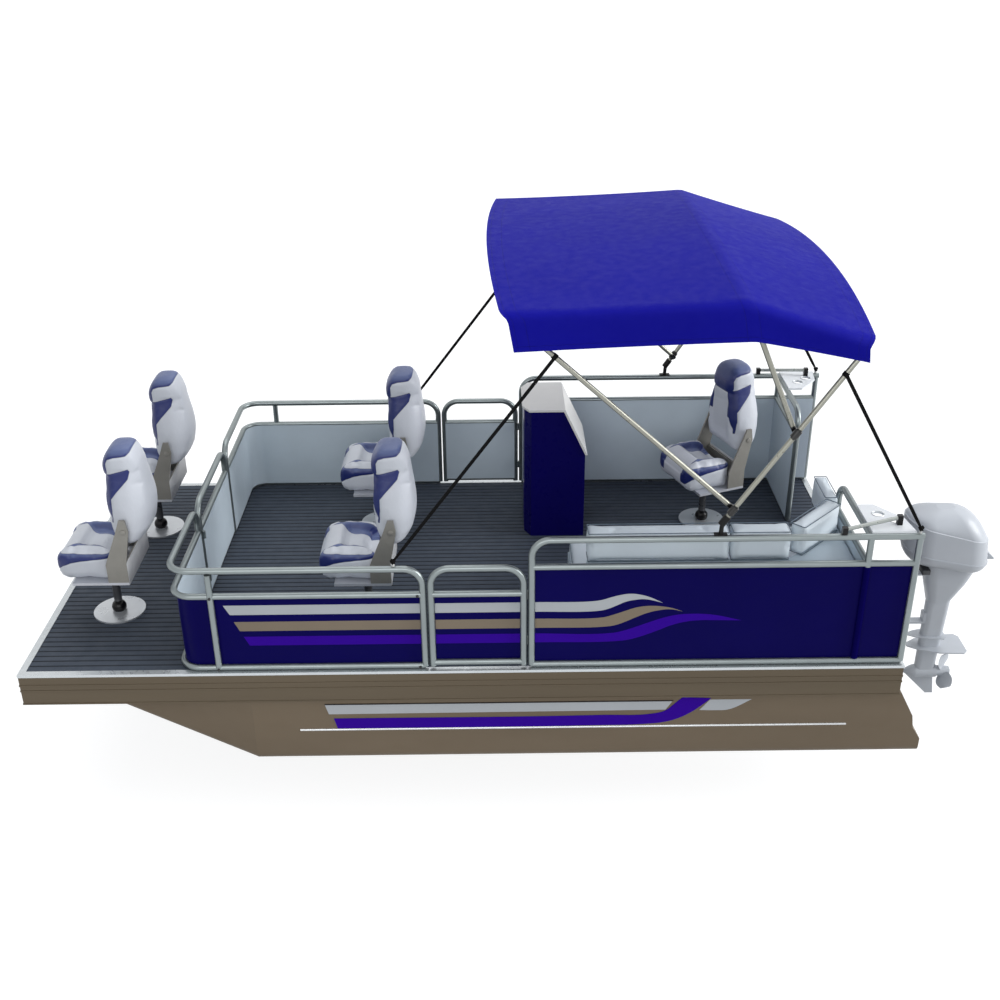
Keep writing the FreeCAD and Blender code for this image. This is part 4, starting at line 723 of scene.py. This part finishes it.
def inside_depth(across, height, patch):
    """How far a point lies inside a drawn patch; negative outside it."""
    nearest = 1.0
    within = False
    for (ax, az), (bx, bz) in zip(patch, patch[1:] + patch[:1]):
        rx, rz = bx - ax, bz - az
        share = max(0.0, min(1.0, ((across - ax) * rx + (height - az) * rz) / (rx * rx + rz * rz)))
        nearest = min(nearest, math.hypot(across - ax - share * rx, height - az - share * rz))
        if (az > height) != (bz > height) and across < ax + rx * (height - az) / rz:
            within = not within
    return nearest if within else -nearest


def ramp(value, low, high):
    """Zero below low, one above high, and a smooth rise between them."""
    share = max(0.0, min(1.0, (value - low) / (high - low)))
    return share * share * (3 - 2 * share)


def cushion_patch(co):
    """How deep a point of the cushion lies in its navy vinyl."""
    side_face = min(inside_depth(co.x, co.z, cushion_side_patch), abs(co.y) - 0.11)
    top_face = min(inside_depth(co.x, abs(co.y), cushion_top_patch), co.z - 0.42)
    return max(side_face, top_face)


def cushion_sculpt(co, normal):
    """The roll at the front and the lower middle of the sitting face, with a seam between them."""
    roll_end, seam_depth, seam_half, middle_drop, roll_drop = -0.115, 0.004, 0.010, 0.040, 0.006
    if normal.z < 0.2:
        return 0.0
    middle = 1 - ramp(abs(co.y), 0.112, 0.150)
    seam = seam_depth * math.exp(-((co.x - roll_end) / seam_half) ** 2) * (1 - ramp(abs(co.y), 0.09, 0.14))
    return -seam - middle_drop * middle * ramp(co.x, -0.150, -0.080) - roll_drop * middle


def back_patch(co):
    """How deep a point of the back lies in its navy vinyl."""
    side_face = min(inside_depth(co.x, co.z, wedge_patch), abs(co.y) - 0.09)
    front_face = min(inside_depth(abs(co.y), co.z, front_patch), 0.115 - co.x)
    return max(inside_depth(co.x, co.z, cap_patch), side_face, front_face)


def back_sculpt(co, normal):
    """The hollow of the backrest between its side rolls, under the head pillow."""
    hollow_depth = 0.014
    if normal.x > -0.2:
        return 0.0
    middle = 1 - ramp(abs(co.y), 0.07, 0.13)
    return -hollow_depth * middle * ramp(co.z, 0.60, 0.70) * (1 - ramp(co.z, 0.88, 0.96))


def cushion_block(edge_round=0.028):
    """The cushion's outline drawn out to both sides, its rims rounded."""
    shape = bmesh.new()
    side_face = shape.faces.new([shape.verts.new((x, -half, z)) for x, z, half in cushion_outline])
    far_side = bmesh.ops.extrude_face_region(shape, geom=[side_face])
    for vert in far_side["geom"]:
        if isinstance(vert, bmesh.types.BMVert):
            vert.co.y = -vert.co.y
    bmesh.ops.recalc_face_normals(shape, faces=shape.faces)
    rims = [edge for edge in shape.edges if edge.calc_face_angle(0) > 0.9]
    bmesh.ops.bevel(shape, geom=rims, offset=edge_round, segments=3, profile=0.5, affect="EDGES", material=-1)
    bmesh.ops.triangulate(shape, faces=shape.faces)
    return shape


def rounded(value, squareness):
    """A circle's coordinate drawn out towards a square's."""
    return math.copysign(abs(value) ** (2 / squareness), value)


def back_block(front_squareness=4.5, rear_squareness=2.7):
    """The back lofted through its level sections, flat in front and rounder behind."""
    shape = bmesh.new()
    loops = []
    for height, front, rear, half in back_sections:
        loop = bmesh.ops.create_circle(shape, segments=40, radius=1)["verts"]
        loops.append(loop)
        for vert in loop:
            squareness = front_squareness if vert.co.x < 0 else rear_squareness
            vert.co = ((front + rear) / 2 + (rear - front) / 2 * rounded(vert.co.x, squareness),
                       half * rounded(vert.co.y, squareness), height)
    for lower, upper in zip(loops, loops[1:]):
        rims = {edge for loop in (lower, upper) for vert in loop for edge in vert.link_edges
                if edge.other_vert(vert) in loop}
        bmesh.ops.bridge_loops(shape, edges=list(rims))
    for loop in (loops[0], loops[-1]):
        shape.faces.new(loop)
    bmesh.ops.recalc_face_normals(shape, faces=shape.faces)
    return shape


def sewn_pad(shape, patch, sculpt, voxel=0.0125, pressure=4.0, most=0.012):
    """Stuffs one pad, sinks its seams, and marks how deep each point lies in a navy patch."""
    seam_depth, seam_half = 0.0028, 0.0055
    mesh = swell(shape, voxel, pressure, most)
    normals = [vert.normal.copy() for vert in mesh.vertices]
    depths = [patch(vert.co) for vert in mesh.vertices]
    for vert, normal, depth in zip(mesh.vertices, normals, depths):
        sewn = seam_depth * math.exp(-(depth / seam_half) ** 2)
        vert.co += normal * (sculpt(vert.co, normal) - sewn)
    navy = mesh.attributes.new("navy", "FLOAT", "POINT")
    navy.data.foreach_set("value", depths)
    return mesh


def block(middle, size, edge_round, segments):
    """A box with rounded edges."""
    shape = bmesh.new()
    bmesh.ops.create_cube(shape, size=1, matrix=Matrix.Translation(middle) @ Matrix.Diagonal((*size, 1)))
    bmesh.ops.bevel(shape, geom=shape.edges[:], offset=edge_round, segments=segments, profile=0.5,
                    affect="EDGES", material=-1)
    return shape


ear_x, ear_height, ear_side = 0.176, 0.668, 0.229
# A pin's shank and head: radius, inner and outer end
pin_parts = ((0.011, 0.165, ear_side), (0.017, ear_side, ear_side + 0.005))
shroud_middle, shroud_size = (0.1665, 0, 0.394), (0.003, 0.450, 0.148)
pads = {"cushion": (sewn_pad(cushion_block(), cushion_patch, cushion_sculpt), "seat_%s"),
        "back": (sewn_pad(back_block(), back_patch, back_sculpt), "seat_%s_back")}
for seat, (seat_x, seat_y, seat_turn) in seat_places.items():
    dress(seat_metal, "seat_bracket_" + seat)
    stand = Matrix.Translation((seat_x, seat_y, deck_top)) @ Matrix.Rotation(math.radians(seat_turn), 4, "Z")
    for part, (pad_mesh, body) in pads.items():
        mesh = pad_mesh.copy()
        mesh.transform(stand)
        pad = add("pad_%s_%s" % (part, seat), mesh, seat_vinyl, body % seat, crease=180)
        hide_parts("seat_%s_%s" % (part, seat))
    pins = bmesh.new()
    for side in sides.values():
        for radius, start, end in pin_parts:
            crosswise_disc(pins, (ear_x, side * (start + end) / 2, ear_height), radius, end - start, 24)
    ease_rims(pins, 0.0018)
    bmesh.ops.transform(pins, matrix=stand, verts=pins.verts)
    add("seat_pins_" + seat, pins, seat_metal, "seat_%s_back" % seat, crease=40)
    shroud = block(shroud_middle, shroud_size, 0.0012, 2)
    bmesh.ops.transform(shroud, matrix=stand, verts=shroud.verts)
    add("seat_shroud_" + seat, shroud, shroud_plastic, "seat_" + seat, crease=40)


# Sun top
# Acrylic cloth in two panels, sewn to one sheet over the middle bow, is stretched over the
# three bows, with a hem all round. Webbing straps run from the rails to the bows.

# Each bow from its pivot to its top, seen from the side
jaw = Vector((1.420, 0, 1.335))
rear_run, front_run = Vector((0.674, 0, 1.018)), Vector((-1.215, 0, 1.097))
middle_run = Vector((-0.300, 0, 0.696))
front_pivot, middle_pivot = jaw + rear_run * 0.0737, jaw + rear_run * 0.508

clamp_reach = 0.033
top_tube = Finish("top_tube", srgb(150, 150, 140), 0.30)
clamp_share = top_tube.most(*(top_tube.near(pivot.x, pivot.z, clamp_reach)
                              for pivot in (front_pivot, middle_pivot)))
top_tube.paint(top_tube.mix(clamp_share, top_tube.colour, srgb(9, 9, 10)))
top_tube.feed(top_tube.step(clamp_share, 0.0, 1.0, 0.7, 0.0), "Metallic")
top_tube.mottle(5.0, 0.08).wear(22.0, 0.05).grain(220.0, 0.00002)
dress(top_tube, "top_bow_rear", "top_bow_front", "top_bow_middle")

jaw_spans = ((2.060, 2.099), (2.385, 2.420))
brace_tube = Finish("brace_tube", srgb(160, 165, 162), 0.30, metallic=0.6)
x, y, z = brace_tube.place()
brace_ends = brace_tube.most(*(brace_tube.between(x, start, end, 0.001) for start, end in jaw_spans))
brace_tube.paint(brace_tube.mix(brace_ends, brace_tube.colour, srgb(20, 20, 22)))
brace_tube.mottle(5.0, 0.08).wear(22.0, 0.05).grain(220.0, 0.00002)
dress(brace_tube, "top_braces")

# Of the rail's fittings the sockets amidships are black and the eyes at both ends bright
rail_fitting = Finish("rail_fitting", srgb(11, 11, 12), 0.45, specular=0.2)
x, y, z = rail_fitting.place()
eyes = rail_fitting.most(rail_fitting.step(x, 0.0, 0.1, 1.0, 0.0), rail_fitting.step(x, 2.4, 2.45))
rail_fitting.paint(rail_fitting.mix(eyes, rail_fitting.colour, srgb(205, 206, 204)))
rail_fitting.mottle(40.0, 0.2).wear(60.0, 0.1).grain(900.0, 0.0001)
dress(rail_fitting, "top_rail_fittings")

cut_length, cut_width, thread_pitch = 2.02, 2.83, 0.0022
# Stitched rows, measured along the cut: both hems and the pockets round the bows
stitch_width, stitch_edge, side_hem = 0.002, 0.0006, 0.036
stitch_places = (0.024, 0.085, 1.212, 1.292, 1.942, 1.994)
cloth = Finish("top_cloth", srgb(10, 9, 146), 0.64, specular=0.10)
along, across = cloth.place("UV")[:2]
warp, weft = (cloth.maths("SINE", cloth.maths("MULTIPLY", place, 2 * math.pi / thread_pitch))
              for place in (along, across))
from_middle, side_row = cloth.maths("ABSOLUTE", across), cut_width / 2 - side_hem
rows = [(from_middle, side_row)] + [(along, row) for row in stitch_places]
stitch_rows = cloth.most(*(cloth.between(way, row, row + stitch_width, stitch_edge) for way, row in rows))
cloth.paint(cloth.mix(cloth.maths("MULTIPLY", stitch_rows, 0.5), cloth.colour, srgb(12, 10, 90)))
cloth.mottle(2.0, 0.08, detail=5.0).wear(20.0, 0.06)
cloth.relief(cloth.maths("MULTIPLY", warp, weft), 0.00012).relief(stitch_rows, -0.0012).grain(3.0, 0.003)

canopy_half, canopy_bend, canopy_crown, cloth_thickness, cloth_lift = 1.208, 0.060, 0.090, 0.0016, 0.006
# Each bow: pivot, run, how far the cloth lies over its axis, and the side flap's lowest point
bow_lines = [(front_pivot, front_run, 0.0206, (0.3027, 2.324)),
             (middle_pivot, middle_run, 0.0188, (1.5054, 2.367)),
             (jaw, rear_run, 0.0149, (2.086, 2.250))]
crown_share, corner_share, middle_share = 0.76, 0.85, 0.62
front_sag, rear_sag, side_sag = 0.012, 0.007, 0.010


def cloth_point(line, across):
    """The cloth's outer face over one bow; across runs from 0 in the middle to 1 at the hem."""
    pivot, run, reach, low = line
    lean = run.normalized()
    top = pivot + run + lean * (reach + cloth_lift)
    flat_half = canopy_half - canopy_bend
    edge_rise = canopy_crown * (1 - (flat_half / canopy_half) ** 2)
    if across <= crown_share:
        y = across / crown_share * flat_half
        rise = canopy_crown * (1 - (y / canopy_half) ** 2)
        return top + lean * rise + Vector((0, y, 0))
    if across <= corner_share:
        angle = (across - crown_share) / (corner_share - crown_share) * math.pi / 2
        return (top + lean * (edge_rise - canopy_bend + canopy_bend * math.cos(angle))
                + Vector((0, flat_half + canopy_bend * math.sin(angle), 0)))
    start = top + lean * (edge_rise - canopy_bend) + Vector((0, canopy_half, 0))
    return start.lerp(Vector((low[0], canopy_half, low[1])), (across - corner_share) / (1 - corner_share))


sheet = bmesh.new()
bmesh.ops.create_grid(sheet, x_segments=64, y_segments=88, size=1)
uv_layer = sheet.loops.layers.uv.new("cut")
cut_places = {}
for vert in sheet.verts:
    along, across = (vert.co.x + 1) / 2, vert.co.y
    side = math.copysign(1, across)
    span = 0 if along < middle_share else 1
    share = along / middle_share if span == 0 else (along - middle_share) / (1 - middle_share)
    start, end = (cloth_point(bow_lines[i], abs(across)) for i in (span, span + 1))
    place = start.lerp(end, share)
    on_top = 1 - ramp(abs(across), crown_share - 0.05, corner_share)
    belly = 4 * share * (1 - share)
    place.z -= (front_sag, rear_sag)[span] * belly * on_top
    place.y -= side_sag * belly * ramp(abs(across), corner_share, 1.0)
    place.y *= side
    cut_places[vert] = (along * cut_length, across * cut_width / 2)
    vert.co = place
for face in sheet.faces:
    for loop in face.loops:
        loop[uv_layer].uv = cut_places[loop.vert]
bmesh.ops.recalc_face_normals(sheet, faces=sheet.faces)
if sum(face.normal.z for face in sheet.faces) < 0:
    bmesh.ops.reverse_faces(sheet, faces=sheet.faces)
cloth_area = sum(face.calc_area() for face in sheet.faces)
bmesh.ops.solidify(sheet, geom=sheet.faces[:], thickness=cloth_thickness)
canopy = add("canopy_cloth", sheet, cloth, crease=60)
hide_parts("top_canopy")
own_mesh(canopy)

webbing = Finish("strap_webbing", srgb(9, 9, 10), 0.75, specular=0.1)
weave = webbing.node("TexWave", [webbing.node("TexCoord").outputs["Object"], 900.0]).outputs["Fac"]
webbing.mottle(60.0, 0.3).wear(90.0, 0.1).relief(weave, 0.0003).grain(1600.0, 0.0003)


def strap_loop(name, centre, axis, body, radius=0.0142, width=0.024, thickness=0.0028):
    """A loop of webbing round a tube."""
    axis = axis.normalized()
    outward = axis.orthogonal().normalized()
    outer = radius + thickness
    section = [centre + outward * out + axis * along * width / 2
               for out, along in ((radius, -1), (outer, -1), (outer, 1), (radius, 1))]
    loop = bmesh.new()
    turned(loop, section, centre, axis, 32)
    close_up(loop, 0.0001)
    add(name, loop, webbing, body, crease=40)


def knot(name, place, size=(0.014, 0.012, 0.016)):
    """A lumpy knot of webbing."""
    shape = bmesh.new()
    bmesh.ops.create_icosphere(shape, subdivisions=4, radius=1)
    for vert in shape.verts:
        x, y, z = vert.co
        lump = 1 + 0.16 * math.sin(x * 7 + z * 5) + 0.10 * math.sin(y * 9 - z * 8)
        vert.co = place + Vector((x * size[0], y * size[1], z * size[2])) * lump
    add(name, shape, webbing, crease=180)


strap_width, strap_thickness, rail_y = 0.019, 0.0024, 1.185
gather, gather_length, edge_curl, twist = 0.55, 0.03, 0.0012, 0.002
front_upper = front_pivot + front_run * 0.79 + Vector((0, -1.1558, 0))
rear_upper = jaw + rear_run * 0.83 + Vector((0, -1.1958, 0))
# Each strap to port: its eye on the rail, its upper end, its bow's run and distance from the middle, its body
strap_lines = {"front": (Vector((-0.358, -rail_y, 1.121)), front_upper, front_run, 1.140, "top_front"),
               "rear": (Vector((2.492, -rail_y, 1.291)), rear_upper, rear_run, 1.180, "hull")}
for strap_name, (eye, upper, bow_run, bow_y, bow_body) in strap_lines.items():
    for side_name, side in sides.items():
        run = upper - eye
        across_strap = run.cross(Vector((0, 1, 0))).normalized()
        eye_here = Vector((eye.x, side * rail_y, eye.z))
        web = bmesh.new()
        bmesh.ops.create_grid(web, x_segments=40, y_segments=4, size=1)
        for vert in web.verts:
            share, offset = (vert.co.x + 1) / 2, vert.co.y
            width = strap_width / 2 * (1 - gather * math.exp(-share / gather_length))
            curl = edge_curl * offset * offset + twist * math.sin(share * 9.0) * share * (1 - share)
            place = eye + run * share + across_strap * offset * width
            vert.co = (place.x, -side * (place.y - curl), place.z)
        bmesh.ops.recalc_face_normals(web, faces=web.faces)
        bmesh.ops.solidify(web, geom=web.faces[:], thickness=strap_thickness)
        strap = add("strap_%s_%s" % (strap_name, side_name), web, webbing, crease=50)
        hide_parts("top_straps_" + strap_name)
        if strap_name == "front":
            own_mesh(strap)
        ends = "_%s_%s" % (strap_name, side_name)
        strap_loop("strap_loop" + ends, Vector((upper.x, side * bow_y, upper.z)), bow_run, bow_body)
        knot("strap_knot" + ends, eye_here)


# Outboard motor
# A cast leg and a moulded cowl, both satin white, are clamped to the transom plate. They carry
# a dark latch and a white anode block.

motor_white = Finish("motor_white", srgb(190, 195, 202), 0.42, coat=0.08)
motor_white.mottle(5.0, 0.06).wear(20.0, 0.08).grain(60.0, 0.00004)
dress(motor_white, "motor_clamp", "motor_swivel", "motor_cowl", "motor_lower_cowl", "motor_leg",
      "motor_propeller")
dress(mill, "motor_powerhead")

motor_dark = Finish("motor_dark", srgb(58, 60, 64), 0.5)
motor_dark.mottle(20.0, 0.15).wear(40.0, 0.1).grain(600.0, 0.0001)
motor_blocks = {"motor_latch": ((2.998, -0.089, 0.383), (0.052, 0.088, 0.034), motor_dark),
                "motor_anode": ((3.098, 0.0, -0.030), (0.056, 0.060, 0.068), motor_white)}
for name, (middle, size, finish) in motor_blocks.items():
    add(name, block(middle, size, 0.004, 3), finish, "motor", crease=40)


# Floor
# A pale floor just under the skeg, out to beyond the camera's view. It is seen white but
# lights the hull like any pale floor, and keeps the hull's shadow.

floor_gap, floor_radius, floor_glow = 0.02, 160.0, 0.84
floor_finish = Finish("floor", srgb(150, 152, 154), 0.9, specular=0.1)
floor_finish.mottle(0.3, 0.01).wear(1.0, 0.03).grain(30.0, 0.0002)
rays = floor_finish.node("LightPath").outputs
seen = floor_finish.most(rays["Is Camera Ray"], rays["Is Glossy Ray"], rays["Is Transmission Ray"])
floor_finish.shader.inputs["Emission Color"].default_value = (1, 1, 1, 1)
floor_finish.feed(floor_finish.maths("MULTIPLY", seen, floor_glow), "Emission Strength")
disc = bmesh.new()
bmesh.ops.create_circle(disc, cap_ends=True, segments=96, radius=floor_radius,
                        matrix=Matrix.Translation((0, 0, cad_low.z - floor_gap)))
floor_mesh = bpy.data.meshes.new("floor")
disc.to_mesh(floor_mesh)
disc.free()
floor_mesh.materials.append(floor_finish.material)
floor = placed("floor", floor_mesh)
floor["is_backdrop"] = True

low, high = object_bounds()
{"cad": [list(cad_low), list(cad_high)], "visual": [list(low), list(high)]}
